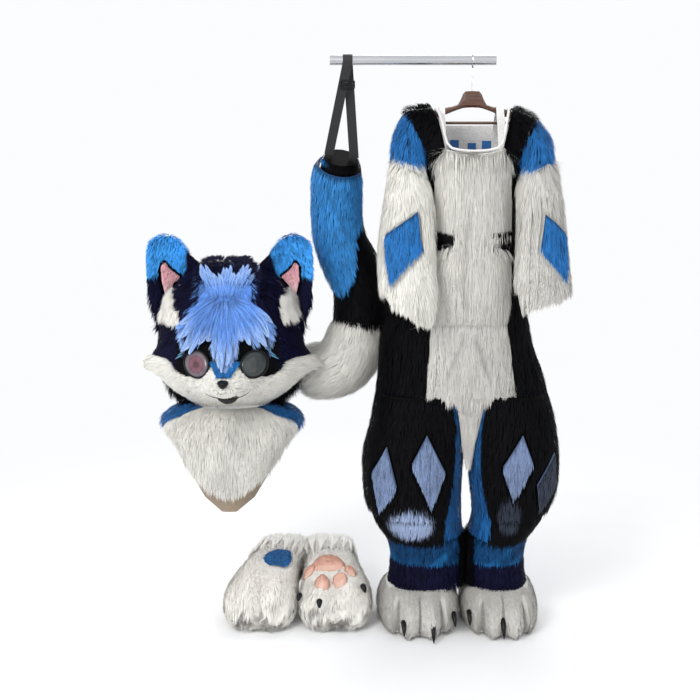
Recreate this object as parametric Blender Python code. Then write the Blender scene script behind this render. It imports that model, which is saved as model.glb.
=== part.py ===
"""A canine costume set: body suit on a wooden hanger, tail on its belt, head with bib, hand paws.

Metres, +Z up, +X to the viewer's right, -Y towards the viewer. The origin is on the axis of the rail,
straight above the hanger's hook. Each panel is a wall of fur cloth between an outer skin and one a pile's
depth inside it.
"""

import math

import bmesh
import bpy
import numpy as np

# Fur cloth: depth of the wall with its pile, depth of an appliqued patch, and the gaps between pieces
FUR = 0.012
PATCH = 0.0035
PATCH_LIFT = 0.0018
SEAM = 0.0004

# Heights, from the rail down to the floor
RIDGE_Z = -0.116
# How the shoulders fall outwards: the right one hangs lower
RIDGE_SLOPES = {-1: -0.12, 1: -0.48}
RIDGE_ROUND = 0.09
NECK_FRONT_Z = -0.2325
NECK_BACK_Z = -0.165
ARMPIT_Z = -0.262
WAIST_MARK_Z = -0.460
BELLY_Z = -0.668
HIP_Z = -0.868
TONGUE_Z = -1.062
SHIN_Z = -1.206
CALF_Z = -1.268
ANKLE_Z = -1.336
FOOT_Z = -1.408
FLOOR_Z = -1.512

# Rail, hook and hanger
RAIL_RADIUS = 0.0125
RAIL_ENDS = (-0.37, 0.06)
HOOK_WIRE = 0.0022
HANGER_BAR = 0.0036
HANGER_BAR_Z = -0.160
STRAP_THICK = 0.002

# Neck opening and the seams of the trunk, as distances from the middle
NECK_HALF = 0.078
NECK_RIDGE_HALF = 0.105
CHEST_HALF = 0.100
BACK_HALF = 0.085
BACK_NECK_HALF = 0.098
ARMHOLE_SHARE = 0.878
ARMHOLE_RISE = {-1: 0.080, 1: 0.0625}
WAIST_MARK_REACH = 0.055

# Head
HEAD_X = -0.640
HEAD_Y = 0.020
HEAD_TOP_Z = -0.530
BROW_Z = -0.664
HEAD_HEM_Z = -0.906
MUZZLE = 0.100
MUZZLE_Z = -0.826
MUZZLE_HALF = 0.066
CHEEK_TUFT = 0.036
CHEEK_Z = -0.792
EYE_SPREAD = 0.0735
EYE_Z = -0.772
EYE_RADIUS = 0.0335
EAR_DEPTH = 0.014
EAR_CUP = 0.026
EAR_TIP_Z = -0.453
HAIR_DEPTH = 0.018
BIB_END_Z = -1.182

COLOURS = {
    "white": (0.80, 0.78, 0.71),
    "black": (0.006, 0.006, 0.008),
    "navy": (0.009, 0.010, 0.035),
    "blue": (0.018, 0.155, 0.58),
    "teal": (0.012, 0.10, 0.29),
    "hair": (0.16, 0.33, 0.83),
    "grey_blue": (0.20, 0.30, 0.55),
    "pink": (0.85, 0.42, 0.36),
    "beige": (0.52, 0.42, 0.29),
    "lens": (0.11, 0.08, 0.09),
    "wood": (0.09, 0.035, 0.018),
    "metal": (0.55, 0.56, 0.58),
}


class Sections:
    """Rows of named sizes against a first column, read between the rows along a smooth curve."""

    def __init__(self, names, *rows):
        data = np.array(sorted(rows), float)
        self.names = names.split()
        self.at, self.values = data[:, 0], data[:, 1:]
        steps = np.diff(self.values, axis=0) / np.diff(self.at)[:, None]
        before, after = steps[:-1], steps[1:]
        same_way = before * after > 0
        inner = np.where(same_way, 2 * before * after / np.where(same_way, before + after, 1), 0)
        self.slopes = np.vstack([steps[:1], inner, steps[-1:]])

    def __call__(self, name, at):
        k = self.names.index(name)
        at = np.clip(at, self.at[0], self.at[-1])
        i = np.clip(np.searchsorted(self.at, at, side="right") - 1, 0, len(self.at) - 2)
        wide = self.at[i + 1] - self.at[i]
        t = (at - self.at[i]) / wide
        low, high = self.values[i, k], self.values[i + 1, k]
        rise_low, rise_high = self.slopes[i, k] * wide, self.slopes[i + 1, k] * wide
        return (
            low * (1 + 2 * t) * (1 - t) ** 2
            + rise_low * t * (1 - t) ** 2
            + high * t * t * (3 - 2 * t)
            + rise_high * t * t * (t - 1)
        )


BODY = Sections(
    "left right depth square dip",
    (-0.116, -0.197, 0.197, 0.092, 2.5, 0.0),
    (-0.130, -0.190, 0.190, 0.096, 2.5, 0.0),
    (-0.196, -0.158, 0.158, 0.100, 2.5, 0.0),
    (-0.262, -0.126, 0.126, 0.102, 2.5, 0.0),
    (-0.310, -0.117, 0.118, 0.102, 2.7, 0.0),
    (-0.450, -0.116, 0.118, 0.104, 2.8, 0.0),
    (-0.560, -0.134, 0.128, 0.110, 2.8, 0.0),
    (-0.640, -0.190, 0.150, 0.116, 2.7, 0.0),
    (-0.700, -0.228, 0.158, 0.120, 2.6, 0.01),
    (-0.790, -0.236, 0.186, 0.120, 2.6, 0.03),
    (-0.868, -0.244, 0.210, 0.120, 2.6, 0.07),
    (-1.070, -0.244, 0.210, 0.118, 2.6, 0.07),
)
# Where the chest's side seams run
CHEST = Sections(
    "left right",
    (-0.222, -0.100, 0.100),
    (-0.610, -0.101, 0.100),
    (-0.668, -0.107, 0.094),
)
# The belly panel's edges, and those of the tongue that runs down between the thighs
BELLY = Sections(
    "left right",
    (-0.668, -0.107, 0.094),
    (-0.760, -0.112, 0.106),
    (-0.868, -0.118, 0.122),
)
TONGUE = Sections(
    "left right",
    (-0.868, -0.044, 0.044),
    (-0.892, -0.036, 0.036),
    (-0.960, -0.026, 0.024),
    (-1.062, -0.010, 0.008),
)
# Sleeves: nearest and furthest from the middle, place and depth front to back, rise from inside to outside
SLEEVES = {
    -1: Sections(
        "inner outer y depth rise",
        (-0.271, 0.117, 0.209, -0.050, 0.058, 0.042),
        (-0.305, 0.114, 0.217, -0.078, 0.055, 0.026),
        (-0.360, 0.104, 0.231, -0.098, 0.055, 0.010),
        (-0.490, 0.099, 0.246, -0.114, 0.056, 0.000),
        (-0.580, 0.099, 0.240, -0.166, 0.049, 0.020),
        (-0.635, 0.112, 0.214, -0.180, 0.044, 0.050),
    ),
    1: Sections(
        "inner outer y depth rise",
        (-0.271, 0.117, 0.207, -0.050, 0.058, 0.042),
        (-0.305, 0.114, 0.215, -0.078, 0.055, 0.026),
        (-0.360, 0.112, 0.226, -0.098, 0.055, 0.010),
        (-0.460, 0.110, 0.241, -0.102, 0.058, 0.000),
        (-0.550, 0.106, 0.247, -0.132, 0.054, 0.010),
        (-0.610, 0.120, 0.246, -0.154, 0.046, 0.050),
    ),
}
LEGS = {
    -1: Sections(
        "left right front back square",
        (-0.869, -0.244, -0.003, -0.120, 0.120, 2.8),
        (-0.950, -0.258, -0.008, -0.132, 0.118, 2.5),
        (-1.050, -0.280, -0.012, -0.145, 0.112, 2.3),
        (-1.156, -0.277, -0.016, -0.140, 0.118, 2.2),
        (-1.235, -0.247, -0.014, -0.122, 0.125, 2.2),
        (-1.294, -0.213, -0.004, -0.100, 0.110, 2.1),
        (-1.355, -0.206, -0.004, -0.090, 0.084, 2.1),
        (-1.410, -0.214, -0.008, -0.100, 0.084, 2.1),
    ),
    1: Sections(
        "left right front back square",
        (-0.869, 0.003, 0.210, -0.120, 0.120, 2.8),
        (-0.950, 0.006, 0.233, -0.132, 0.118, 2.5),
        (-1.050, 0.006, 0.245, -0.145, 0.112, 2.3),
        (-1.120, 0.010, 0.246, -0.144, 0.116, 2.2),
        (-1.208, 0.022, 0.215, -0.130, 0.124, 2.2),
        (-1.285, 0.008, 0.170, -0.102, 0.112, 2.1),
        (-1.355, 0.003, 0.163, -0.088, 0.084, 2.1),
        (-1.410, 0.004, 0.172, -0.098, 0.084, 2.1),
    ),
}
# Where a leg's black front panel ends on its inner and outer side, in degrees from straight ahead
LEG_FRONT = Sections(
    "inner outer",
    (-0.869, 30, 132),
    (-0.950, 46, 134),
    (-1.070, 50, 134),
    (-1.140, 46, 126),
    (-1.180, 40, 112),
    (-1.220, 34, 96),
    (-1.268, 28, 76),
)
FEET = Sections(
    "half front back toes",
    (-1.512, 0.094, -0.192, 0.078, 0.5),
    (-1.497, 0.105, -0.208, 0.090, 1.0),
    (-1.465, 0.108, -0.213, 0.094, 1.0),
    (-1.438, 0.102, -0.190, 0.090, 1.0),
    (-1.420, 0.094, -0.150, 0.086, 0.7),
    (-1.4083, 0.086, -0.112, 0.082, 0.1),
)
FOOT_MIDDLES = {-1: -0.1305, 1: 0.093}
FOOT_WIDTHS = {-1: 1.057, 1: 1.0}
TOE_GROOVE = 0.040
# The tail's middle line and radius, counted from its top
TAIL = Sections(
    "x y z radius",
    (0, -0.341, 0.060, -0.250, 0.050),
    (1, -0.348, 0.085, -0.300, 0.060),
    (2, -0.350, 0.108, -0.380, 0.062),
    (3, -0.344, 0.122, -0.455, 0.065),
    (4, -0.318, 0.134, -0.530, 0.070),
    (5, -0.290, 0.142, -0.605, 0.075),
    (6, -0.284, 0.144, -0.690, 0.079),
    (7, -0.298, 0.138, -0.755, 0.083),
    (8, -0.332, 0.128, -0.815, 0.084),
    (9, -0.386, 0.126, -0.842, 0.079),
    (10, -0.434, 0.146, -0.836, 0.064),
    (11, -0.472, 0.164, -0.828, 0.026),
)
TAIL_WHITE = 6.25
HEAD = Sections(
    "half front back",
    (-0.5302, 0.012, 0.012, 0.014),
    (-0.533, 0.038, 0.036, 0.042),
    (-0.545, 0.084, 0.078, 0.088),
    (-0.575, 0.131, 0.118, 0.130),
    (-0.620, 0.163, 0.145, 0.158),
    (-0.680, 0.184, 0.160, 0.170),
    (-0.740, 0.193, 0.165, 0.172),
    (-0.790, 0.195, 0.166, 0.168),
    (-0.830, 0.185, 0.160, 0.158),
    (-0.865, 0.158, 0.140, 0.138),
    (-0.890, 0.128, 0.110, 0.118),
    (-0.906, 0.108, 0.088, 0.104),
)
# Half the angle of the face in the head, and the angle that the hair covers
FACE = Sections(
    "half",
    (-0.530, 0.25),
    (-0.664, 0.25),
    (-0.682, 16),
    (-0.705, 42),
    (-0.735, 66),
    (-0.770, 88),
    (-0.800, 102),
    (-0.850, 94),
    (-0.906, 72),
)
HAIR = Sections(
    "half",
    (-0.534, 56),
    (-0.545, 45),
    (-0.575, 33),
    (-0.608, 28),
    (-0.640, 34),
    (-0.671, 37),
    (-0.720, 38),
    (-0.790, 37),
)
EAR = Sections(
    "inner outer",
    (-0.453, 0.158, 0.178),
    (-0.462, 0.140, 0.200),
    (-0.485, 0.120, 0.214),
    (-0.530, 0.098, 0.218),
    (-0.570, 0.092, 0.218),
    (-0.610, 0.092, 0.212),
    (-0.660, 0.092, 0.204),
    (-0.700, 0.092, 0.199),
)
EAR_FOOT = Sections("z", (0, -0.540), (0.25, -0.558), (0.5, -0.588), (0.75, -0.632), (1, -0.690))
CAPE = Sections(
    "half front back bib",
    (-0.9062, 0.106, 0.086, 0.102, 42),
    (-0.925, 0.162, 0.124, 0.140, 52),
    (-0.950, 0.190, 0.150, 0.160, 68),
    (-0.972, 0.184, 0.160, 0.160, 74),
    (-1.000, 0.170, 0.166, 0.160, 66),
    (-1.050, 0.150, 0.168, 0.160, 55),
    (-1.100, 0.132, 0.162, 0.150, 50),
    (-1.145, 0.112, 0.152, 0.140, 41),
    (-1.168, 0.102, 0.146, 0.135, 29),
    (-1.182, 0.096, 0.142, 0.130, 13),
)
PAWS = Sections(
    "half high raise fingers round",
    (-0.142, 0.052, 0.036, 0.000, 1.0, 1.0),
    (-0.128, 0.080, 0.064, 0.000, 1.0, 1.0),
    (-0.100, 0.096, 0.088, 0.000, 1.0, 1.0),
    (-0.050, 0.101, 0.108, 0.000, 0.6, 1.0),
    (0.010, 0.097, 0.118, 0.002, 0.1, 1.0),
    (0.080, 0.087, 0.118, 0.012, 0.0, 0.95),
    (0.150, 0.074, 0.112, 0.028, 0.0, 0.78),
    (0.205, 0.067, 0.106, 0.042, 0.0, 0.60),
)
PAW_MIDDLES = {-1: -0.565, 1: -0.358}
# How far each paw turns towards the other, for each metre back, and how much more its cuff does
PAW_TURNS = {-1: 0.20, 1: -0.10}
CUFF_TURNS = {-1: 0.135, 1: 0.0}
PAW_INSIDE_END = -0.030
PAD_LIFT = 0.0070


def clear_scene():
    for thing in list(bpy.data.objects):
        bpy.data.objects.remove(thing)


def material(name, colour, roughness=0.85, metallic=0.0):
    made = bpy.data.materials.new(name)
    made.use_nodes = True
    shader = made.node_tree.nodes["Principled BSDF"]
    shader.inputs["Base Color"].default_value = (*COLOURS[colour], 1)
    shader.inputs["Roughness"].default_value = roughness
    shader.inputs["Metallic"].default_value = metallic
    made.diffuse_color = (*COLOURS[colour], 1)
    return made


def add_solid(name, points, faces, colour, roughness=0.85, metallic=0.0):
    """One closed body from points and faces, with its own material, facing outwards."""
    shape = bmesh.new()
    corners = [shape.verts.new(p) for p in points]
    for face in faces:
        shape.faces.new([corners[i] for i in face])
    bmesh.ops.remove_doubles(shape, verts=shape.verts[:], dist=1e-6)
    bmesh.ops.triangulate(shape, faces=shape.faces[:], quad_method="SHORT_EDGE")
    bmesh.ops.recalc_face_normals(shape, faces=shape.faces[:])
    if shape.calc_volume(signed=True) < 0:
        bmesh.ops.reverse_faces(shape, faces=shape.faces[:])
    mesh = bpy.data.meshes.new(name)
    shape.to_mesh(mesh)
    shape.free()
    mesh.materials.append(material(name, colour, roughness, metallic))
    made = bpy.data.objects.new(name, mesh)
    bpy.context.scene.collection.objects.link(made)
    mesh.shade_smooth()
    mesh.set_sharp_from_angle(angle=math.radians(50))
    return made


def ring_faces(rings, around, loop):
    """Quads between neighbouring rings of points, each of the same length."""
    faces = []
    for k in range(rings if loop else rings - 1):
        this, other = k * around, (k + 1) % rings * around
        for i in range(around):
            j = (i + 1) % around
            faces.append((this + i, this + j, other + j, other + i))
    return faces


def loft(name, rings, colour, loop=False, **finish):
    """A body through rings of points: a closed tube wall if it loops, otherwise capped at both ends."""
    rings = np.asarray(rings, float)
    count, around, _ = rings.shape
    points = list(rings.reshape(-1, 3))
    faces = ring_faces(count, around, loop)
    if not loop:
        for first in (0, (count - 1) * around):
            points.append(np.mean(rings[first // around], axis=0))
            faces += [(first + i, first + (i + 1) % around, len(points) - 1) for i in range(around)]
    return add_solid(name, points, faces, colour, **finish)


def wall(name, outer, inner, colour, **finish):
    """A body between two grids of points that face each other, closed along its four sides."""
    rows, wide, _ = outer.shape
    rings = np.concatenate([outer, inner[:, ::-1]], axis=1)
    around = 2 * wide
    faces = ring_faces(rows, around, False)
    for first in (0, (rows - 1) * around):
        for i in range(wide - 1):
            faces.append((first + i, first + i + 1, first + around - 2 - i, first + around - 1 - i))
    return add_solid(name, list(rings.reshape(-1, 3)), faces, colour, **finish)


def raised(skin, a, b, lift):
    """Points of a skin, moved out along its normal. A skin gives points from two numbers."""
    small = 1e-4
    across = skin(a + small, b) - skin(a - small, b)
    along = skin(a, b + small) - skin(a, b - small)
    normal = np.cross(across, along)
    normal /= np.linalg.norm(normal, axis=-1, keepdims=True)
    return skin(a, b) + normal * np.asarray(lift)[..., None]


def inset(skin, a, b, depth):
    """Points of a skin moved level along its normal, so that the edges of a level cut stay level."""
    moved = raised(skin, a, b, depth)
    moved[..., 2] = skin(a, b)[..., 2]
    return moved


def panel(name, skin, a, b, colour, out=0.0, inside=-FUR, **finish):
    """A piece of cloth over part of a skin."""
    return wall(name, raised(skin, a, b, out), raised(skin, a, b, inside), colour, **finish)


def patch(name, skin, a, b, colour, depth=PATCH, lift=PATCH_LIFT, **finish):
    """A thin piece that lies on a panel, made from the panel's own skin."""
    return panel(name, skin, a, b, colour, out=lift + depth, inside=lift, **finish)


def spread(start, end, count):
    return np.linspace(start, end, count)


def blend(low, high, share):
    return low + (high - low) * share


def four_corners(corners, across, down):
    """A grid of number pairs inside four corners, given in order round the shape."""
    s, t = np.meshgrid(spread(0, 1, across), spread(0, 1, down))
    first, second, third, fourth = (np.array(c, float) for c in corners)
    place = blend(blend(first, second, s[..., None]), blend(fourth, third, s[..., None]), t[..., None])
    return place[..., 0], place[..., 1]


def power(value, share):
    return np.sign(value) * np.abs(value) ** share


def grid(columns, rows):
    """Two grids from column and row values."""
    return np.meshgrid(np.asarray(columns, float), np.asarray(rows, float))


# Trunk


def shoulder_z(x):
    slope = np.where(np.asarray(x) > 0, RIDGE_SLOPES[1], RIDGE_SLOPES[-1])
    return RIDGE_Z + slope * np.maximum(np.abs(x) - NECK_RIDGE_HALF, 0)


def arch(x, z):
    """How full the trunk is this far below the shoulder's ridge: none on it, all past its rounding."""
    below = np.clip((shoulder_z(x) - z) / RIDGE_ROUND, 0, 1)
    return np.sqrt(np.maximum(1 - (1 - below) ** 2, 0))


def chest_fold(x, z):
    """A soft fold down the middle of the chest, and two that part above the thighs."""
    middle = 0.011 * np.exp(-(((x - 0.002) / 0.017) ** 2)) * np.exp(-(((z + 0.40) / 0.13) ** 2))
    part = np.abs(x) - 0.05 * np.clip((-0.69 - z) / 0.14, 0, 1)
    low = 0.006 * np.exp(-((part / 0.016) ** 2)) * np.exp(-(((z + 0.78) / 0.07) ** 2))
    return middle + low


def trunk(turn, z):
    """The trunk's skin. The turn is in degrees, 0 straight ahead and 90 to the right."""
    turn = np.radians(turn)
    square = 2 / BODY("square", z)
    left, right = BODY("left", z), BODY("right", z)
    x = (left + right) / 2 + (right - left) / 2 * power(np.sin(turn), square)
    ahead = power(np.cos(turn), square)
    dip = 1 - BODY("dip", z) * np.exp(-((x / 0.05) ** 2))
    y = -ahead * BODY("depth", z) * arch(x, z) * dip
    y = y + np.where(ahead > 0, chest_fold(x, z), 0)
    return np.stack([x, y, z + 0 * x], axis=-1)


def turn_of(x, z):
    """The turn at which the trunk's front has this x."""
    left, right = BODY("left", z), BODY("right", z)
    share = (x - (left + right) / 2) / ((right - left) / 2)
    return np.degrees(np.arcsin(power(np.clip(share, -1, 1), BODY("square", z) / 2)))


def neckline_z(x):
    """The lower edge of the neck opening and, past it, of the shoulder yoke."""
    inside = NECK_FRONT_Z + 0.0105 * (x / NECK_HALF) ** 2
    yoke = yoke_front_z(np.abs(x))
    return np.where(np.abs(x) < NECK_HALF, inside, yoke)


def yoke_front_z(x):
    return -0.222 + (ARMPIT_Z + 0.222) * np.clip((x - NECK_HALF) / 0.035, 0, 1)


def chest_edge(name, z):
    """The chest's seam on one side: the black side runs to a point towards the middle at the waist mark."""
    mark = np.clip(1 - np.abs(z - WAIST_MARK_Z) / 0.016, 0, 1)
    edge = CHEST(name, z)
    return edge - np.sign(edge) * WAIST_MARK_REACH * mark


TRUNK_ROWS = np.array([-0.30, -0.37, -0.43, -0.444, -0.460, -0.476, -0.49, -0.55, -0.61, BELLY_Z])
HIP_ROWS = np.array([-0.72, -0.77, -0.82, HIP_Z])


def back_half(z):
    high = np.clip((z - ARMPIT_Z) / (NECK_BACK_Z - ARMPIT_Z), 0, 1)
    return blend(BACK_HALF, BACK_NECK_HALF, high)


def make_chest():
    share = spread(-1, 1, 9)
    top = neckline_z(share * CHEST_HALF) - SEAM
    rows = [blend(top, TRUNK_ROWS[0], t) for t in (0, 0.5)]
    rows += [np.full(9, z) for z in TRUNK_ROWS[:-1]] + [np.full(9, BELLY_Z + SEAM)]
    z = np.array(rows)
    x = blend(chest_edge("left", z) + SEAM, chest_edge("right", z) - SEAM, (share + 1) / 2)
    panel("chest_front", trunk, turn_of(x, z), z, "white")


def tongue_y(z):
    """How far forward the tongue's back lies: just ahead of the thighs where its edges cross them."""
    rows = LEGS[-1]
    left, right = rows("left", z), rows("right", z)
    share = np.clip((TONGUE("left", z) - (left + right) / 2) / ((right - left) / 2), 0, 0.93)
    square = rows("square", z)
    front, back = rows("front", z), rows("back", z)
    return (front + back) / 2 - (back - front) / 2 * (1 - share**square) ** (1 / square) - 0.0038


def make_belly():
    """The belly with its tongue, which lies in front of where the thighs meet."""
    share, z = grid(spread(0, 1, 7), [BELLY_Z - SEAM, *HIP_ROWS[:-1], HIP_Z + 0.004])
    x = blend(BELLY("left", z) + SEAM, BELLY("right", z) - SEAM, share)
    turn = turn_of(x, z)
    outer, inner = raised(trunk, turn, z, 0.0), raised(trunk, turn, z, -FUR)
    share, z = grid(spread(0, 1, 7), [HIP_Z + 0.002, -0.876, -0.892, -0.96, -1.01, TONGUE_Z])
    x = blend(TONGUE("left", z), TONGUE("right", z), share)
    narrow = 1 - 0.4 * np.abs(2 * share - 1) ** 3
    back = np.stack([x, tongue_y(z), z], axis=-1)
    front = np.stack([x * narrow, tongue_y(z) - 0.007, z], axis=-1)
    wall("belly_front", np.vstack([outer, front]), np.vstack([inner, back]), "white")


def front_edge(name, z):
    """The seam between a black side and the white front, on the chest or the belly."""
    return np.where(z > BELLY_Z + 0.001, chest_edge(name, z), BELLY(name, z))


# The upper edge of a side panel under the armhole: its height at shares of the way from the chest to the back
UNDERARM = Sections(
    "z",
    (0.00, -0.2515),
    (0.13, -0.2668),
    (0.24, -0.2690),
    (0.36, -0.2790),
    (0.46, -0.2840),
    (0.56, -0.2790),
    (0.67, -0.2680),
    (0.78, -0.2640),
    (1.00, -0.2636),
)


def make_sides():
    """The sides reach up into the armpits: high at both ends and lower under the armhole."""
    share = UNDERARM.at
    top = UNDERARM("z", share)
    rows = np.concatenate([TRUNK_ROWS, HIP_ROWS])
    z = np.vstack([top, (top + rows[0]) / 2, rows[:, None] + np.zeros((1, len(share)))])
    for side, name in ((-1, "left"), (1, "right")):
        first = side * turn_of(front_edge(name, z) + side * SEAM, z)
        last = 180 - np.abs(turn_of(side * (BACK_HALF + SEAM), z))
        panel("side_" + name, trunk, side * blend(first, last, share), z, "black")


def make_back():
    rows = np.concatenate([[NECK_BACK_Z, -0.206, ARMPIT_Z], TRUNK_ROWS, HIP_ROWS])
    share, z = grid(spread(1, -1, 7), rows)
    x = share * (back_half(z) - SEAM)
    panel("body_back", trunk, 180 - turn_of(x, z), z, "blue")


YOKE_NECK = {
    False: Sections("x", (-0.222, NECK_HALF), (-0.150, 0.092), (-0.116, NECK_RIDGE_HALF)),
    True: Sections("x", (ARMPIT_Z, BACK_HALF), (NECK_BACK_Z, BACK_NECK_HALF), (-0.116, NECK_RIDGE_HALF)),
}


def shoulder(side):
    """The skin of a shoulder from the front, over the ridge, to the back. Along runs from 0 to 2."""

    def skin(share, along):
        over = np.abs(1 - along)
        behind = along > 1
        end = np.where(behind, ARMPIT_Z, blend(-0.222, ARMPIT_Z, share))
        drop = 1 - np.cos(over * math.pi / 2)
        x = 0.1 + 0 * drop
        for _ in range(4):
            ridge = shoulder_z(side * x)
            z = ridge + (end - ridge) * drop
            neck = np.where(behind, YOKE_NECK[True]("x", z), YOKE_NECK[False]("x", z)) + SEAM
            half = (BODY("right", z) - BODY("left", z)) / 2
            x = blend(neck, ARMHOLE_SHARE * half - SEAM, share)
        y = -trunk(turn_of(side * x, z), z)[..., 1]
        return np.stack([side * x, np.where(behind, y, -y), z], axis=-1)

    return skin


def make_yokes():
    share, along = grid(spread(0, 1, 4), [0, 0.25, 0.5, 0.75, 0.92, 1.08, 1.25, 1.5374, 1.75, 2])
    for side, name in ((-1, "left"), (1, "right")):
        skin = shoulder(side)
        wall("yoke_" + name, skin(share, along), raised(skin, share, along, -side * FUR), "black")


def swept(path, ring, ahead):
    """Rings of points along a path. Each ring point is (along the ahead direction, across it)."""
    path = np.asarray(path, float)
    heading = np.gradient(path, axis=0)
    heading /= np.linalg.norm(heading, axis=1, keepdims=True)
    ahead = np.broadcast_to(np.asarray(ahead, float), path.shape)
    first = ahead - np.sum(ahead * heading, axis=1, keepdims=True) * heading
    first /= np.linalg.norm(first, axis=1, keepdims=True)
    second = np.cross(heading, first)
    ring = np.broadcast_to(ring, (len(path), *np.shape(ring)[-2:]))
    return path[:, None] + ring[..., :1] * first[:, None] + ring[..., 1:] * second[:, None]


def circle(radius, count):
    turn = spread(0, 2 * math.pi, count + 1)[:-1]
    return np.stack([radius * np.cos(turn), radius * np.sin(turn)], axis=-1)


def make_neck_binding():
    """A closed roll along the neck opening: under the chin, over both ridges and across the back."""
    right_half = (
        (0.000, -0.2287, -1),
        (0.034, -0.2268, -1),
        (0.058, -0.2215, -1),
        (0.0705, -0.2090, -1),
        (0.0765, -0.1880, -1),
        (0.0830, -0.1560, -1),
        (0.0895, -0.1330, -1),
        (0.0950, -0.1230, 0),
        (0.0935, -0.1330, 1),
        (0.0885, -0.1480, 1),
        (0.0680, -0.1590, 1),
        (0.0350, -0.1590, 1),
        (0.000, -0.1590, 1),
    )
    half = []
    for x, z, way in right_half:
        front = -trunk(turn_of(x, z), z)[1]
        half.append((x, way * (front - FUR / 2), z))
    path = half + [(-x, y, z) for x, y, z in reversed(half[1:-1])]
    path = np.array(path)
    heading = np.roll(path, -1, axis=0) - np.roll(path, 1, axis=0)
    heading /= np.linalg.norm(heading, axis=1, keepdims=True)
    first = np.cross(heading, [0, 0, 1.0]) + 1e-3
    first = first - np.sum(first * heading, axis=1, keepdims=True) * heading
    first /= np.linalg.norm(first, axis=1, keepdims=True)
    second = np.cross(heading, first)
    ring = circle(0.0034, 6)
    rings = path[:, None] + ring[None, :, :1] * first[:, None] + ring[None, :, 1:] * second[:, None]
    loft("neck_binding", rings, "white", loop=True)


# Hanger, rail and straps


HANGER_RINGS = (0.018, 0.025, 0.030, 0.037, 0.050, 0.070, 0.090, 0.110, 0.133, 0.156)
HANGER_ENDS = {
    -1: ((0.140, -0.1350, -0.1620, 0.0080), (0.156, -0.1400, -0.1650, 0.0070)),
    1: ((0.120, -0.1393, -0.1590, 0.0080), (0.156, -0.1572, -0.1735, 0.0070)),
}


def hanger_profile(side):
    """The hanger's upper and lower edge at distances from its middle: a block with an arm to each side."""
    return Sections(
        "top bottom half",
        (0.000, -0.078, -0.120, 0.0100),
        (0.020, -0.079, -0.121, 0.0100),
        (0.028, -0.094, -0.123, 0.0095),
        (0.034, -0.110, -0.125, 0.0090),
        (0.048, -0.116, -0.130, 0.0085),
        (0.070, -0.121, -0.139, 0.0080),
        (0.105, -0.1300, -0.1500, 0.0080),
        *HANGER_ENDS[side],
    )


def make_hanger():
    rings = []
    for x in [-x for x in reversed(HANGER_RINGS)] + [0.0, *HANGER_RINGS]:
        profile = hanger_profile(1 if x > 0 else -1)
        top, bottom = profile("top", abs(x)), profile("bottom", abs(x))
        around = circle(1, 8) * ((top - bottom) / 2, profile("half", abs(x)))
        rings.append([(x, side, (top + bottom) / 2 + up) for up, side in around])
    hanger = loft("hanger", rings, "wood", roughness=0.45)
    path = [(x, 0, HANGER_BAR_Z) for x in (-0.149, 0.149)]
    bar = loft("hanger_bar_helper", swept(path, circle(HANGER_BAR, 8), (0, 0, 1)), "wood")
    bar.hide_render = True
    bar.display_type = "WIRE"
    joined = hanger.modifiers.new("Bar", "BOOLEAN")
    joined.operation = "UNION"
    joined.object = bar


def make_hook():
    reach = RAIL_RADIUS + 0.0003 + HOOK_WIRE
    turns = np.radians(spread(-52, 196, 14))
    bend = [(0, reach * math.cos(t), reach * math.sin(t)) for t in turns]
    shank = [(0, 0, -0.0775), (0, 0, -0.056), (0, 0.0005, -0.036), (0, 0.0035, -0.0215)]
    rings = swept(shank + bend, circle(HOOK_WIRE, 8), (1, 0, 0))
    loft("hanger_hook", rings, "metal", roughness=0.3, metallic=1.0)


def make_rail():
    path = [(x, 0, 0) for x in RAIL_ENDS]
    loft("rail", swept(path, circle(RAIL_RADIUS, 20), (0, 0, 1)), "metal", roughness=0.35, metallic=1.0)


def flat_strip(name, path, out, width, thick, colour):
    """A flat strip along a path. Out is the way its face looks at each point."""
    ring = np.array([(-1, -1), (1, -1), (1, 1), (-1, 1)]) * (thick / 2, width / 2)
    loft(name, swept(path, ring, out), colour)


def make_straps():
    """White tapes inside the neck that go over the hanger's arms."""
    profile = hanger_profile(-1)
    for name, x, width in (("strap_left", -0.079, 0.016), ("strap_right", 0.072, 0.020)):
        top = profile("top", abs(x) - width / 2) + 0.0018
        deep = profile("half", abs(x)) + 0.0018
        edge = abs(x) + width / 2
        front = [(inset(trunk, turn_of(edge, z), np.float64(z), -0.0185)[1], z) for z in (-0.236, -0.223)]
        back = [(-inset(trunk, turn_of(edge, z), np.float64(z), -0.0235)[1], z) for z in (-0.172, -0.186)]
        half = [*front, (-0.045, -0.170), (-deep - 0.001, top - 0.012)]
        over = [(-deep * 0.8, top - 0.002), (0, top), (deep * 0.8, top - 0.002)]
        rest = [(deep + 0.001, top - 0.012), (0.040, -0.150), *back]
        path = np.array([(x, y, z) for y, z in half + over + rest])
        heading = np.gradient(path, axis=0)
        out = np.cross(heading, [1.0, 0, 0])
        flat_strip(name, path, out, width, STRAP_THICK, "white")


# Sleeves


def sleeve(side):
    """A sleeve's skin below its cap. The turn is 0 ahead and 90 towards the body."""

    def skin(turn, z):
        rows, turn = SLEEVES[side], np.radians(turn)
        inner, outer = rows("inner", z), rows("outer", z)
        x = side * ((inner + outer) / 2 - (outer - inner) / 2 * np.sin(turn))
        y = rows("y", z) - rows("depth", z) * np.cos(turn)
        return np.stack([x, y, z - rows("rise", z) / 2 * np.sin(turn)], axis=-1)

    return skin


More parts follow.
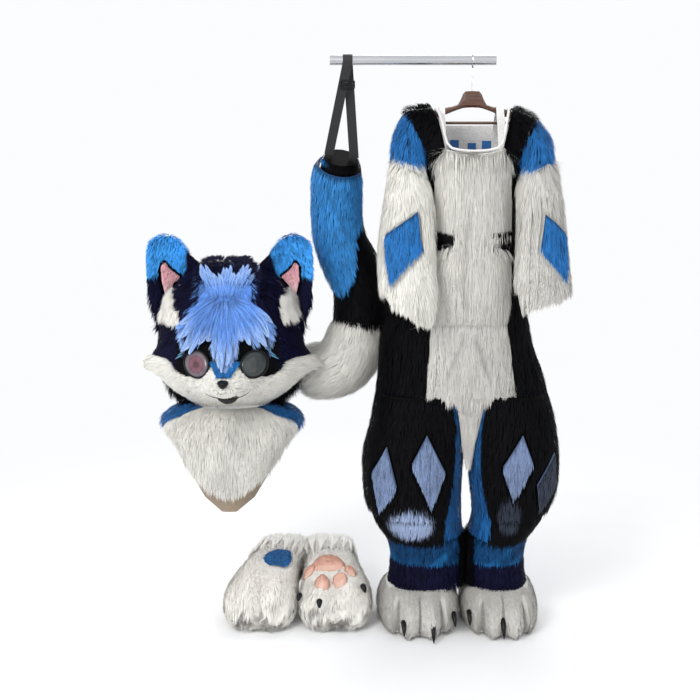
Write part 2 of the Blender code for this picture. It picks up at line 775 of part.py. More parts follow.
def armhole(side, turns, shrink):
    """The ring in which a sleeve meets the trunk, just outside the trunk's cut edge."""
    s, c = np.sin(turns), np.cos(turns)
    down = np.where(s > 0, 0.074, ARMHOLE_RISE[side])
    edge = -0.204 - s * down
    z = -0.204 - s * (down - shrink)
    half = (BODY("right", edge) - BODY("left", edge)) / 2
    low = np.clip((-0.225 - edge) / 0.04, 0, 1)
    x = half * blend(ARMHOLE_SHARE, 0.985, low) + blend(0.0006, 0.003, low)
    y = -(0.066 - shrink) * c
    return np.stack([side * x, y, z], axis=-1)


def make_sleeves():
    around = 16
    turns = np.radians(spread(0, 360, around + 1)[:-1])
    for side, name in ((-1, "left"), (1, "right")):
        skin = sleeve(side)
        start = np.full(around, -0.271)
        upper = {}
        for lift in (0, -FUR):
            end = inset(skin, np.degrees(turns), start, -side * lift)
            begin = armhole(side, turns, -lift)
            bulge = np.outer(np.maximum(-np.sin(turns), 0), (side * 0.010, 0, 0.006))
            upper[lift] = [blend(begin, end, t) + 4 * t * (1 - t) * bulge for t in (0, 0.35, 0.7, 1)]
        for ring in (upper[0][-1], upper[-FUR][-1]):
            ring[:, 2] += 0.0008
        loft("sleeve_cap_" + name, upper[0] + upper[-FUR][::-1], "blue", loop=True)
        hem = SLEEVES[side].at[0]
        turn, z = grid(np.degrees(turns), spread(-0.271, hem, 9))
        outer, inner = skin(turn, z), inset(skin, turn, z, side * FUR)
        loft("sleeve_" + name, list(outer) + list(inner[::-1]), "white", loop=True)


LOZENGES = {
    -1: ((18, -0.378), (-48, -0.440), (-34, -0.556), (28, -0.465)),
    1: ((-4, -0.385), (-58, -0.438), (-44, -0.552), (9, -0.466)),
}


def make_sleeve_patches():
    for side, name in ((-1, "left"), (1, "right")):
        turn, z = four_corners(LOZENGES[side], 6, 6)
        skin = sleeve(side)
        outer = raised(skin, turn, z, -side * (0.0021 + PATCH))
        inner = raised(skin, turn, z, -side * 0.0021)
        wall("sleeve_patch_" + name, outer, inner, "blue")


# Legs


def leg(side):
    """A leg's skin. The turn is 0 ahead and 90 to the outside."""

    def skin(turn, z):
        rows, turn = LEGS[side], np.radians(turn)
        square = 2 / rows("square", z)
        left, right = rows("left", z), rows("right", z)
        front, back = rows("front", z), rows("back", z)
        x = (left + right) / 2 + side * (right - left) / 2 * power(np.sin(turn), square)
        y = (front + back) / 2 - (back - front) / 2 * power(np.cos(turn), square)
        return np.stack([x, y, z + 0 * x], axis=-1)

    return skin


def side_wall(name, skin, side, a, b, colour, out=0.0, inside=-FUR):
    """A panel on a skin that is mirrored on the left, where its normal points the other way."""
    wall(name, raised(skin, a, b, side * out), inset(skin, a, b, side * inside), colour)


def make_legs():
    edge = 0.4
    for side, name in ((-1, "left"), (1, "right")):
        skin = leg(side)
        rows = np.array([HIP_Z - 0.001, -0.91, -0.96, -1.01, -1.06, -1.11, -1.16, SHIN_Z + SEAM])
        share, z = grid(spread(0, 1, 9), rows)
        turn = blend(-LEG_FRONT("inner", z) + edge, LEG_FRONT("outer", z) - edge, share)
        side_wall("thigh_" + name, skin, side, turn, z, "black")
        share, z = grid(spread(0, 1, 6), [SHIN_Z - SEAM, -1.237, CALF_Z + SEAM])
        turn = blend(-LEG_FRONT("inner", z) + edge, LEG_FRONT("outer", z) - edge, share)
        side_wall("shin_" + name, skin, side, turn, z, "grey_blue")
        rows = np.append(rows[:-1], [SHIN_Z, -1.237, CALF_Z + SEAM])
        share, z = grid(spread(0, 1, 7), rows)
        turn = blend(LEG_FRONT("outer", z) + edge, 360 - LEG_FRONT("inner", z) - edge, share)
        side_wall("leg_back_" + name, skin, side, turn, z, "blue")
        around = spread(0, 360, 17)[:-1]
        for piece, top, bottom, colour in (
            ("calf_", CALF_Z - SEAM, ANKLE_Z + SEAM, "teal"),
            ("ankle_", ANKLE_Z - SEAM, FOOT_Z + SEAM, "navy"),
        ):
            turn, z = grid(around, spread(top, bottom, 3))
            outer, inner = skin(turn, z), inset(skin, turn, z, -side * FUR)
            loft(piece + name, list(outer) + list(inner[::-1]), colour, loop=True)


# Corners of each knee patch, as (x, z) on the front of its leg
KNEE_PATCHES = (
    ("knee_patch_left_outer", -1, ((-0.220, -1.000), (-0.256, -1.072), (-0.238, -1.178), (-0.194, -1.105))),
    ("knee_patch_left_inner", -1, ((-0.116, -0.966), (-0.155, -1.040), (-0.104, -1.160), (-0.068, -1.066))),
    ("knee_patch_right_inner", 1, ((0.136, -0.966), (0.086, -1.048), (0.114, -1.134), (0.163, -1.040))),
    ("knee_patch_right_outer", 1, ((0.224, -1.022), (0.176, -1.100), (0.186, -1.174), (0.232, -1.100))),
)


def leg_by_x(side):
    """The front of a leg by its x and z."""
    rows, skin = LEGS[side], leg(side)

    def front(x, z):
        left, right = rows("left", z), rows("right", z)
        share = side * (x - (left + right) / 2) / ((right - left) / 2)
        return skin(np.degrees(np.arcsin(power(np.clip(share, -1, 1), rows("square", z) / 2))), z)

    return front


def make_knee_patches():
    for name, side, corners in KNEE_PATCHES:
        x, z = four_corners(corners, 6, 8)
        panel(name, leg_by_x(side), x, z, "grey_blue", out=0.0007 + PATCH, inside=0.0007)


def toe_lobes(x_share):
    """1 in the middle of each of four toes and 0 between them."""
    return np.abs(np.sin(2 * math.pi * x_share)) ** 0.6


def foot_ring(side, z, shrink=0.0):
    """A level ring of a foot, or of its hollow inside when it is shrunk."""
    half = FOOT_WIDTHS[side] * FEET("half", z) - shrink
    turns = np.radians(spread(0, 360, 37)[:-1])
    s, c = np.sin(turns), np.cos(turns)
    front, back = FEET("front", z) + 1.4 * shrink, FEET("back", z) - shrink
    y = np.where(c > 0, front, -back) * power(c, 0.75)
    if not shrink:
        y = y + TOE_GROOVE * (1 - toe_lobes(s)) * np.clip(c * 1.6, 0, 1) * FEET("toes", z)
    return np.stack([FOOT_MIDDLES[side] + half * power(s, 0.85), y, z + 0 * s], axis=-1)


def make_feet():
    for side, name in ((-1, "left"), (1, "right")):
        outer = [foot_ring(side, z) for z in (FLOOR_Z, -1.500, -1.470, -1.440, -1.424, -1.4083)]
        hollow = ((-1.4083, 0.014), (-1.440, 0.030), (-1.492, 0.036))
        inner = [foot_ring(side, z, shrink) for z, shrink in hollow]
        loft("foot_" + name, outer + inner, "white")


# Tail


def tail_line(at):
    return np.stack([TAIL(k, at) for k in ("x", "y", "z")], axis=-1)


def tail_frame(at):
    """The tail's middle, its side direction and its front direction at places along it."""
    middle = tail_line(at)
    heading = tail_line(at + 0.01) - tail_line(at - 0.01)
    heading /= np.linalg.norm(heading, axis=-1, keepdims=True)
    front = np.array([0, -1.0, 0]) + 0 * heading
    front = front - np.sum(front * heading, axis=-1, keepdims=True) * heading
    front /= np.linalg.norm(front, axis=-1, keepdims=True)
    return middle, np.cross(front, heading), front


def tail(turn, at):
    """The tail's skin. The turn is 0 ahead and 90 to the right."""
    middle, across, front = tail_frame(at)
    turn = np.radians(turn)[..., None]
    radius = TAIL("radius", at)[..., None]
    return middle + radius * (np.cos(turn) * front + np.sin(turn) * across)


def make_tail():
    around = spread(0, 360, 17)[:-1]
    turn, at = grid(around, [0.02, 0.4, 1, 2, 3, 3.7, 4.4, 5.3, TAIL_WHITE - 0.01])
    loft("tail_black", tail(turn, at), "black")
    turn, at = grid(around, [TAIL_WHITE, 7, 7.7, 8.4, 9.1, 9.8, 10.5, 10.98])
    loft("tail_tip", tail(turn, at), "white")
    share, at = grid(spread(0, 1, 11), [0.5, 1, 1.5, 2, 2.5, 3, 3.35, 3.7, 4.05, 4.4, 4.65, 4.9])
    left = Sections("turn", (0.5, -118), (3, -112), (4, -90), (4.9, -44))
    right = Sections("turn", (0.5, 70), (2, 66), (3, 34), (4, 4), (4.9, -40))
    turn = blend(left("turn", at), right("turn", at), share)
    lift = 0.003
    outer = raised(tail, turn, at, -(lift + PATCH))
    wall("tail_blue", outer, raised(tail, turn, at, -lift), "blue")


def make_tail_belt():
    """A belt laid over the rail, with both ends sewn to the top of the tail."""
    middle, across, front = tail_frame(np.float64(0.02))
    up = np.cross(across, front)
    up = up if up[2] > 0 else -up
    seat = 0.003
    left = middle + across * 0.034 * np.sign(-across[0]) + up * seat
    right = middle - across * 0.034 * np.sign(-across[0]) + up * seat
    reach = RAIL_RADIUS + 0.0007 + 0.001
    over = [(-0.324, -reach * math.cos(t), reach * math.sin(t)) for t in np.radians(spread(-18, 172, 10))]
    path = [left, blend(left, np.array(over[0]), 0.5), blend(left, np.array(over[0]), 0.85), *over]
    path += [blend(np.array(over[-1]), right, 0.15), blend(np.array(over[-1]), right, 0.5), right]
    path = np.array(path)
    out = np.array([(0, -1, 0)] * 3 + [(0, p[1], p[2]) for p in over] + [(0, 1, 0)] * 3, float)
    flat_strip("tail_belt", path, out, 0.025, 0.002, "black")


# Head


def head(turn, z):
    """The head's skin. The turn is 0 ahead and 90 to the right."""
    turn = np.radians(turn)
    s, c = np.sin(turn), np.cos(turn)
    aside = HEAD("half", z) * s
    deep = np.where(c > 0, HEAD("front", z), HEAD("back", z))
    tall = np.where(z > MUZZLE_Z, 0.046, 0.036)
    muzzle = MUZZLE * np.exp(-(np.abs(aside / MUZZLE_HALF) ** 2.6)) * np.exp(-(((z - MUZZLE_Z) / tall) ** 2))
    y = HEAD_Y - c * deep - np.where(c > 0, muzzle * np.clip(2 * c, 0, 1), 0)
    from_side = np.abs(np.degrees(np.arctan2(np.abs(s), c))) - 84
    tuft = CHEEK_TUFT * np.exp(-(((z - CHEEK_Z) / 0.026) ** 2)) * np.exp(-((from_side / 17) ** 2))
    return np.stack([HEAD_X + aside + np.sign(s) * tuft, y, z + 0 * s], axis=-1)


def face_skin(x, z):
    """The front of the head by its x and z."""
    return head(np.degrees(np.arcsin(np.clip((x - HEAD_X) / HEAD("half", z), -1, 1))), z)


MASK_END = Sections(
    "z",
    (0, -0.762),
    (0.12, -0.772),
    (0.25, -0.804),
    (0.36, -0.812),
    (0.45, -0.800),
    (0.54, -0.780),
    (0.75, -0.771),
    (1, -0.772),
)


def mask_end_z(share):
    """Where the black mask round the eyes ends and the white cheeks begin."""
    return MASK_END("z", np.abs(share))


def make_head_shell():
    top = [-0.5302, -0.537, -0.550, -0.575, -0.615, -0.664]
    mask_end = mask_end_z(1)
    rows = [top, spread(BROW_Z - 0.004, mask_end, 6), spread(mask_end, HEAD_HEM_Z, 7)[1:]]
    rows = np.concatenate(rows)
    share, z = grid(spread(0, 1, 17), rows)
    edge = FACE("half", z) + 0.15
    turn = blend(edge, 360 - edge, share)
    outer, inner = head(turn, z), raised(head, turn, z, -FUR)
    outer[0] = (HEAD_X, HEAD_Y, HEAD_TOP_Z)
    inner[0] = (HEAD_X, HEAD_Y, HEAD_TOP_Z - FUR)
    wall("head_shell", outer, inner, "navy")


def make_face():
    share, down = grid(spread(-1, 1, 19), [0, 0.2, 0.4, 0.6, 0.8, 1])
    z = blend(BROW_Z - 0.004, mask_end_z(share) + SEAM, down)
    turn = share * (FACE("half", z) - 0.3)
    panel("eye_mask", head, turn, z, "black")
    share, down = grid(spread(-1, 1, 19), spread(0, 1, 7))
    z = blend(mask_end_z(share) - SEAM, HEAD_HEM_Z, down)
    turn = share * (FACE("half", z) - 0.3)
    panel("face", head, turn, z, "white")


def button(name, skin, place, sizes, rise, colour, around=14, lift=0.0024, **finish):
    """A raised oval piece on a skin, given by its x and z."""
    turns = np.radians(spread(0, 360, around + 1)[:-1])
    rows = ((0.10, 0), (0.6, 0), (1.0, 0), (1.0, 0.4), (0.78, 0.85), (0.35, 1))
    rings = []
    for share, height in rows:
        x = place[0] + sizes[0] * share * np.cos(turns)
        z = place[1] + sizes[1] * share * np.sin(turns)
        rings.append(raised(skin, x, z, lift + height * rise))
    loft(name, rings, colour, **finish)


def make_face_pieces():
    for side, name in ((-1, "eye_left"), (1, "eye_right")):
        place = (HEAD_X + side * EYE_SPREAD, EYE_Z)
        button(name, face_skin, place, (EYE_RADIUS, EYE_RADIUS), 0.008, "lens", roughness=0.1)
    place = (HEAD_X, -0.811)
    button("nose", face_skin, place, (0.0135, 0.0105), 0.011, "black", around=10, lift=0.0006, roughness=0.15)
    corners = ((-0.040, -0.768), (0.040, -0.768), (0.017, -0.797), (-0.017, -0.797))
    x, z = four_corners(corners, 5, 4)
    patch("muzzle_bridge", face_skin, HEAD_X + x, z, "blue", lift=0.0016)
    share, down = grid(spread(-1, 1, 6), [0, 1])
    z = -0.8535 - 0.0015 * (1 - share**2) - down * (0.002 + 0.009 * (1 - share**2))
    patch("mouth", face_skin, HEAD_X + 0.026 * share, z, "black", depth=0.002, lift=0.0013)


def ear(side):
    """An ear's front skin: across runs from its inner edge to its outer one, up from its foot to its tip."""

    def skin(across, up):
        z = blend(EAR_FOOT("z", across), EAR_TIP_Z, up)
        foot = HEAD("half", EAR_FOOT("z", across)) + 0.0028
        free = blend(EAR("inner", z), EAR("outer", z), across)
        x = blend(foot, free, np.clip(3 * up, 0, 1))
        bowl = EAR_CUP * 4 * across * (1 - across) * np.clip(1.15 - up, 0, 1)
        y = HEAD_Y - 0.004 - 0.012 * up + bowl
        return np.stack([HEAD_X + side * x, y, z], axis=-1)

    return skin


def make_ears():
    for side, name in ((-1, "left"), (1, "right")):
        skin = ear(side)
        across, up = grid(spread(0, 1, 6), [0, 0.18, 0.36, 0.54, 0.72, 0.86, 0.95, 1])
        front = skin(across, up)
        wall("ear_" + name, front, front + (0, EAR_DEPTH, 0), "navy")
        across, up = grid(spread(0.42, 0.76, 4), [0.08, 0.18, 0.29, 0.40, 0.52])
        across = blend(0.69, across, 1 - 1.85 * (up - 0.08))
        front = skin(across, up)
        wall("ear_inner_" + name, front - (0, PATCH_LIFT + PATCH, 0), front - (0, PATCH_LIFT, 0), "pink")


FRINGE = Sections(
    "z",
    (0, -0.785),
    (0.16, -0.742),
    (0.28, -0.705),
    (0.48, -0.716),
    (0.65, -0.702),
    (0.87, -0.738),
    (1, -0.690),
)


def fringe_z(share):
    """The lower edge of the hair: a long lock in the middle and a shorter one at each side."""
    return FRINGE("z", np.abs(share))


def make_hair():
    share, down = grid(spread(-1, 1, 17), [0, 0.04, 0.12, 0.26, 0.44, 0.63, 0.82, 1])
    z = blend(-0.5345, fringe_z(share), down)
    turn = share * HAIR("half", z)
    depth = 0.003 + (HAIR_DEPTH - 0.003) * np.sin(np.clip(0.25 + 0.75 * down, 0, 1) * math.pi) ** 0.6
    under = 0.0022 + 0.0045 * np.exp(-(((z + 0.772) / 0.03) ** 2))
    under += 0.003 * np.exp(-(((z + 0.545) / 0.02) ** 2))
    panel("hair", head, turn, z, "hair", out=under + depth, inside=under)


def cape(turn, z):
    """The skin of the bib in front and the collar behind, below the head."""
    turn = np.radians(turn)
    s, c = np.sin(turn), np.cos(turn)
    deep = np.where(c > 0, CAPE("front", z), CAPE("back", z))
    return np.stack([HEAD_X + CAPE("half", z) * s, HEAD_Y - c * deep, z + 0 * s], axis=-1)


def fur_end_z(share):
    return -1.122 + 0.075 * share**2


def make_bib():
    share, down = grid(spread(-1, 1, 11), [0, 0.1286, 0.3071, 0.4643, 0.7, 1])
    z = blend(HEAD_HEM_Z - 0.0002, fur_end_z(share) + SEAM, down)
    panel("bib", cape, share * CAPE("bib", z), z, "white")
    share, down = grid(spread(-1, 1, 9), [0, 0.4, 0.75, 1])
    z = blend(fur_end_z(share) - SEAM, BIB_END_Z, down)
    panel("bib_hem", cape, share * CAPE("bib", z), z, "beige", out=-0.006)
    share, z = grid(spread(0, 1, 13), [HEAD_HEM_Z - 0.0002, -0.925, -0.950, -0.972])
    edge = CAPE("bib", z) + 0.8
    panel("collar", cape, blend(edge, 360 - edge, share), z, "blue")


# Hand paws


def paw(side):
    """A hand paw's skin, lying on the floor. The turn is 0 on top and 90 to the right."""

    def skin(turn, y):
        turn = np.radians(turn)
        s, c = np.sin(turn), np.cos(turn)
        half, high, raised_by = PAWS("half", y), PAWS("high", y), PAWS("raise", y)
        fingers, rounding = PAWS("fingers", y), PAWS("round", y)
        groove = (1 - toe_lobes(s)) * fingers
        turned = PAW_TURNS[side] * np.maximum(y, 0) + CUFF_TURNS[side] * np.maximum(y - 0.12, 0)
        x = PAW_MIDDLES[side] + turned + half * power(s, 0.85 * rounding)
        up = power(c, 0.8 * rounding)
        z = FLOOR_Z + raised_by + high / 2 * (1 + up * np.where(c > 0, 1 - 0.25 * groove, 1))
        return np.stack([x, y + 0.032 * groove * np.abs(c) ** 0.3, z], axis=-1)

    return skin


def make_paws():
    for side, name in ((-1, "left"), (1, "right")):
        skin = paw(side)
        around = spread(0, 360, 21)[:-1]
        turn, y = grid(around, [-0.142, -0.133, -0.115, -0.09, -0.065, -0.02, 0.04, 0.12, 0.205])
        outer = skin(turn, y)
        turn, y = grid(around, [0.205, 0.10, PAW_INSIDE_END])
        inner = skin(turn, y)
        centre = np.mean(inner, axis=1, keepdims=True)
        shrink = np.array([0.80, 0.74, 0.62])[:, None, None]
        hollow = centre + (inner - centre) * shrink
        hollow[..., 1] = y
        loft("paw_" + name, list(outer) + list(hollow), "white")
    turn, y = grid(spread(-6, 40, 6), spread(0.040, 0.128, 6))
    top = np.abs(np.linspace(-1, 1, 6))[:, None]
    turn = blend(17.0, turn, 1 - 0.45 * top**2)
    patch("paw_spot", paw(-1), turn, y, "blue", lift=0.0007)


PADS = (
    ("palm", -0.378, 0.060, 0.050, 0.044),
    ("first", -0.428, 0.014, 0.017, 0.019),
    ("second", -0.394, -0.025, 0.020, 0.022),
    ("third", -0.346, -0.021, 0.020, 0.022),
    ("fourth", -0.316, 0.018, 0.017, 0.019),
)


def pad_height(x, y):
    """1 inside a pad and 0 on the piece of cloth that carries the pads."""
    height = 0 * x
    for _, middle_x, middle_y, wide, long in PADS:
        away = np.hypot((x - middle_x) / wide, (y - middle_y) / long)
        height = np.maximum(height, np.clip(2.4 - 2 * away, 0, 1))
    return height


def make_paw_pads():
    """Five soft pads raised on one thin piece that lies on the palm."""
    skin = paw(1)
    share, y = grid(spread(-1, 1, 13), spread(-0.046, 0.106, 13))
    far = np.abs((y - 0.030) / 0.085)
    turn = -13 + share * 50 * (1 - 0.35 * far**3)
    place = skin(turn, y)
    height = 0.0012 + 0.0055 * pad_height(place[..., 0], place[..., 1])
    outer = raised(skin, turn, y, PAD_LIFT + height)
    wall("paw_pads", outer, raised(skin, turn, y, PAD_LIFT), "pink", roughness=0.6)


def main():
    clear_scene()
    make_rail()
    make_hanger()
    make_hook()
    make_straps()
    make_neck_binding()
    make_yokes()
    make_chest()
    make_belly()
    make_sides()
    make_back()
    make_sleeves()
    make_sleeve_patches()
    make_legs()
    make_knee_patches()
    make_feet()
    make_tail()
    make_tail_belt()
    make_head_shell()
    make_face()
    make_face_pieces()
    make_ears()
    make_hair()
    make_bib()
    make_paws()
    make_paw_pads()


main()
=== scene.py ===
"""Looks of a canine costume set: fur cloth, stuffed tail, head, hand paws, hanger, rail and stage."""

import math

import bpy
import numpy as np
from mathutils import Euler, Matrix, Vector
from mathutils.bvhtree import BVHTree


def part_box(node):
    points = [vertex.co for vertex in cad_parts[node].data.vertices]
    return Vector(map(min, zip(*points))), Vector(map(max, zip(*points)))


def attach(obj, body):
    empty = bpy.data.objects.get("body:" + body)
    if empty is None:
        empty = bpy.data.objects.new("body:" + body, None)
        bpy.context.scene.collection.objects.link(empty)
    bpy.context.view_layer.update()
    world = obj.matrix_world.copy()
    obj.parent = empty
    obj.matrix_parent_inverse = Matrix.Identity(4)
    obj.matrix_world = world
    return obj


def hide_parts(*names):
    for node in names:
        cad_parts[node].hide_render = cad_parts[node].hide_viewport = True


bl_info = {
    "name": "Canine costume set",
    "version": (1, 0, 0),
    "blender": (4, 5, 0),
    "location": "View3D > Sidebar > Costume",
    "description": "Grows the fur and finishes of a canine costume set over its frame",
    "category": "Object",
}

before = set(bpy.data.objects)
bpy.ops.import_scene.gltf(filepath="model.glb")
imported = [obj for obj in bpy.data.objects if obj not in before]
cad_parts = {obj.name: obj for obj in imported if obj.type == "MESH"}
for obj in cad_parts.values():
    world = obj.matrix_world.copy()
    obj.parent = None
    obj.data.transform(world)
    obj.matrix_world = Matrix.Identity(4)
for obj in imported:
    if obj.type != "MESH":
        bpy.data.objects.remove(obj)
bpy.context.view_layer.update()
FLOOR_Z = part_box("foot_left")[0].z
HEAD_X = -0.640
SIDES = (("left", -1), ("right", 1))

# How far a face points away from its part's middle line when it is outside, and when it is inside
OUTSIDE, INSIDE = 0.28, -0.35
# Fur that faces backwards by more than this is thinner, with wider blades
BACKWARDS, WIDER_BEHIND = 0.35, 1.35
# A blade of two triangles is so much wider than one of three
SLIM_WIDER = 1.2
# How far blades may reach over a lower edge, and how far roots and blades stay off a patch
OVERHANG, ROOTS_OFF, BLADES_OFF = 0.010, 0.009, 0.007
# Heights at which the fur of the chest, of the thighs and of the backs of the legs ends
CHEST_END, THIGH_END, LEG_BACK_END = -0.655, -1.195, -1.262
# Places across a cloth at which its lower edge is found
HEM_CELLS = 21
# Edges between faces that turn by more than this stay sharp, in fur cloth and in plain cloth
SHARP_FUR, SHARP_CLOTH = math.radians(50), math.radians(40)
# Lenses: radius of the dome, radius of the ring round it, and half the ring's own thickness
LENS, LENS_RIM, RIM_HALF = 0.0335, 0.0342, 0.0022
# The camera's place, how far it looks down in degrees, and its focal length by the picture's width
EYE, LOOKS_DOWN, FOCAL = (-0.318, -3.4, -0.112), 10.84, 1283 / 700

# Lines down the middle of each part: cloth that faces away from its line is on the outside
HEARTS = {
    "trunk": [[(0, 0, -0.30), (0, 0, -0.95)]],
    "sleeve_left": [
        [(-0.155, 0, -0.21), (-0.163, -0.05, -0.27), (-0.170, -0.10, -0.40), (-0.165, -0.18, -0.64)],
    ],
    "sleeve_right": [
        [(0.155, 0, -0.21), (0.163, -0.05, -0.27), (0.172, -0.10, -0.40), (0.178, -0.15, -0.62)],
    ],
    "leg_left": [[(-0.125, 0, -0.86), (-0.146, -0.01, -1.08), (-0.12, 0, -1.28), (-0.117, 0, -1.42)]],
    "leg_right": [[(0.105, 0, -0.86), (0.126, -0.01, -1.08), (0.095, 0, -1.28), (0.09, 0, -1.42)]],
    "foot_left": [[(-0.1305, -0.12, -1.475), (-0.1305, -0.02, -1.46), (-0.1305, 0.0, -1.40)]],
    "foot_right": [[(0.093, -0.12, -1.475), (0.093, -0.02, -1.46), (0.093, 0.0, -1.40)]],
    "tail": [
        [
            *((-0.341, 0.060, -0.250), (-0.350, 0.108, -0.380), (-0.344, 0.122, -0.455)),
            *((-0.318, 0.134, -0.530), (-0.290, 0.142, -0.605), (-0.284, 0.144, -0.690)),
            *((-0.298, 0.138, -0.755), (-0.332, 0.128, -0.815), (-0.386, 0.126, -0.842)),
            *((-0.434, 0.146, -0.836), (-0.475, 0.165, -0.828)),
        ]
    ],
    "head": [[(-0.64, 0.02, -0.68), (-0.64, 0.02, -1.0)], [(-0.64, 0.0, -0.80), (-0.64, -0.13, -0.835)]],
    "cape": [[(-0.64, 0.02, -0.96), (-0.64, 0.02, -1.2)]],
    "paw_left": [[(-0.565, -0.06, -1.465), (-0.565, 0.0, -1.45), (-0.505, 0.25, -1.42)]],
    "paw_right": [[(-0.358, -0.06, -1.465), (-0.358, 0.0, -1.45), (-0.383, 0.25, -1.42)]],
}


def unit(v):
    return v / np.maximum(np.linalg.norm(v, axis=-1, keepdims=True), 1e-9)


def dot(a, b):
    return np.sum(a * b, axis=-1, keepdims=True)


def ease(value, low, high):
    """0 below the low value and 1 above the high one, smoothly between."""
    share = np.clip((value - low) / (high - low), 0, 1)
    return share * share * (3 - 2 * share)


def heart_of(name, p):
    """The nearest place on a part's middle line to each point, and the way the line runs there."""
    best = np.full(len(p), np.inf)
    place, along = np.zeros_like(p), np.zeros_like(p)
    for line in HEARTS[name]:
        for a, b in zip(np.array(line[:-1], float), np.array(line[1:], float)):
            step = b - a
            t = np.clip((p - a) @ step / (step @ step), 0, 1)
            q = a + t[:, None] * step
            far = np.linalg.norm(p - q, axis=1)
            nearer = far < best
            best[nearer] = far[nearer]
            place[nearer] = q[nearer]
            along[nearer] = step / np.linalg.norm(step)
    return place, along


def ripple(p, scale, seed):
    """Smooth waves that wander through space, one vector for each point."""
    rng = np.random.default_rng(seed)
    out = np.zeros((len(p), 3))
    waves = 5
    for _ in range(waves):
        way = rng.normal(size=(3, 3)) / scale
        out += np.sin(p @ way.T + rng.uniform(0, 6.28, 3))
    return out / (waves / 2)


def scatter(cell, seed):
    """Three steady random numbers for each cell of a grid in space, by a mix with large odd numbers."""
    cell = cell.astype(np.int64)
    mix = cell[..., 0] * 73856093 ^ cell[..., 1] * 19349663 ^ cell[..., 2] * 83492791 ^ (seed * 2654435761)
    out = []
    for k in range(3):
        h = (mix + k * 374761393) & 0xFFFFFFFF
        h = ((h ^ (h >> 15)) * 2246822519) & 0xFFFFFFFF
        h = ((h ^ (h >> 13)) * 3266489917) & 0xFFFFFFFF
        out.append(((h ^ (h >> 16)) & 0xFFFFFF) / 0xFFFFFF)
    return np.stack(out, axis=-1)


def locks(p, size, seed):
    """The middle of the lock that each point belongs to, with three random numbers of that lock."""
    size = np.broadcast_to(np.array(size, float), 3)
    base = np.floor(p / size)
    best = np.full(len(p), np.inf)
    middle, luck = np.zeros_like(p), np.zeros_like(p)
    for dx in (-1, 0, 1):
        for dy in (-1, 0, 1):
            for dz in (-1, 0, 1):
                cell = base + (dx, dy, dz)
                spot = scatter(cell, seed)
                q = (cell + spot) * size
                far = np.sum(((p - q) / size) ** 2, axis=1)
                nearer = far < best
                best[nearer] = far[nearer]
                middle[nearer] = q[nearer]
                luck[nearer] = spot[nearer]
    return middle, luck


# Surfaces


def node_mesh(node):
    """A CAD node's points, welded, and its triangles."""
    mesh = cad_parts[node].data
    points = np.empty(len(mesh.vertices) * 3)
    mesh.vertices.foreach_get("co", points)
    mesh.calc_loop_triangles()
    tris = np.empty(len(mesh.loop_triangles) * 3, np.int64)
    mesh.loop_triangles.foreach_get("vertices", tris)
    points = points.reshape(-1, 3)
    _, first, same = np.unique(np.round(points, 6), axis=0, return_index=True, return_inverse=True)
    return points[first], same.reshape(-1)[tris].reshape(-1, 3)


def refined(points, tris, times):
    """The same surface in smaller triangles."""
    for _ in range(times):
        edges = np.sort(np.concatenate([tris[:, [0, 1]], tris[:, [1, 2]], tris[:, [2, 0]]]), axis=1)
        pairs, same = np.unique(edges, axis=0, return_inverse=True)
        middle = len(points) + same.reshape(3, len(tris)).T
        points = np.concatenate([points, points[pairs].mean(axis=1)])
        a, b, c = tris.T
        ab, bc, ca = middle.T
        tris = np.concatenate([np.stack(t, 1) for t in ((a, ab, ca), (ab, b, bc), (ca, bc, c), (ab, bc, ca))])
    return points, tris


class Surface:
    """Some CAD nodes as one surface, for finding what is near a point or in line with it."""

    def __init__(self, *nodes):
        points, tris, start = [], [], 0
        for name in nodes:
            p, t = node_mesh(name)
            points.append(p)
            tris.append(t + start)
            start += len(p)
        self.points, tris = np.concatenate(points), np.concatenate(tris)
        self.tree = BVHTree.FromPolygons(self.points.tolist(), tris.tolist())

    def near(self, places, reach):
        low, high = self.points.min(axis=0) - reach, self.points.max(axis=0) + reach
        out = np.zeros(len(places), bool)
        for i in np.flatnonzero(np.all((places > low) & (places < high), axis=1)):
            out[i] = self.tree.find_nearest(places[i], reach)[0] is not None
        return out

    def meet(self, start, way):
        """The first place on the surface from a start along a way, with the direction out of it."""
        hit = self.tree.ray_cast(Vector(start), Vector(way))
        if hit[0] is None:
            raise ValueError("nothing lies along the way from " + str(tuple(start)))
        return np.array(hit[0]), np.array(hit[1])

    def ahead(self, x, z):
        """The place that is seen at x and z from straight ahead, or past the edge the nearest one."""
        hit = self.tree.ray_cast(Vector((x, -1.0, z)), Vector((0, 1, 0)))
        if hit[0] is None:
            hit = self.tree.find_nearest(Vector((x, 0.0, z)))
        return np.array(hit[0]), np.array(hit[1])

    def below(self, x, y, top=-1.0):
        return self.meet((x, y, top), (0, 0, -1))


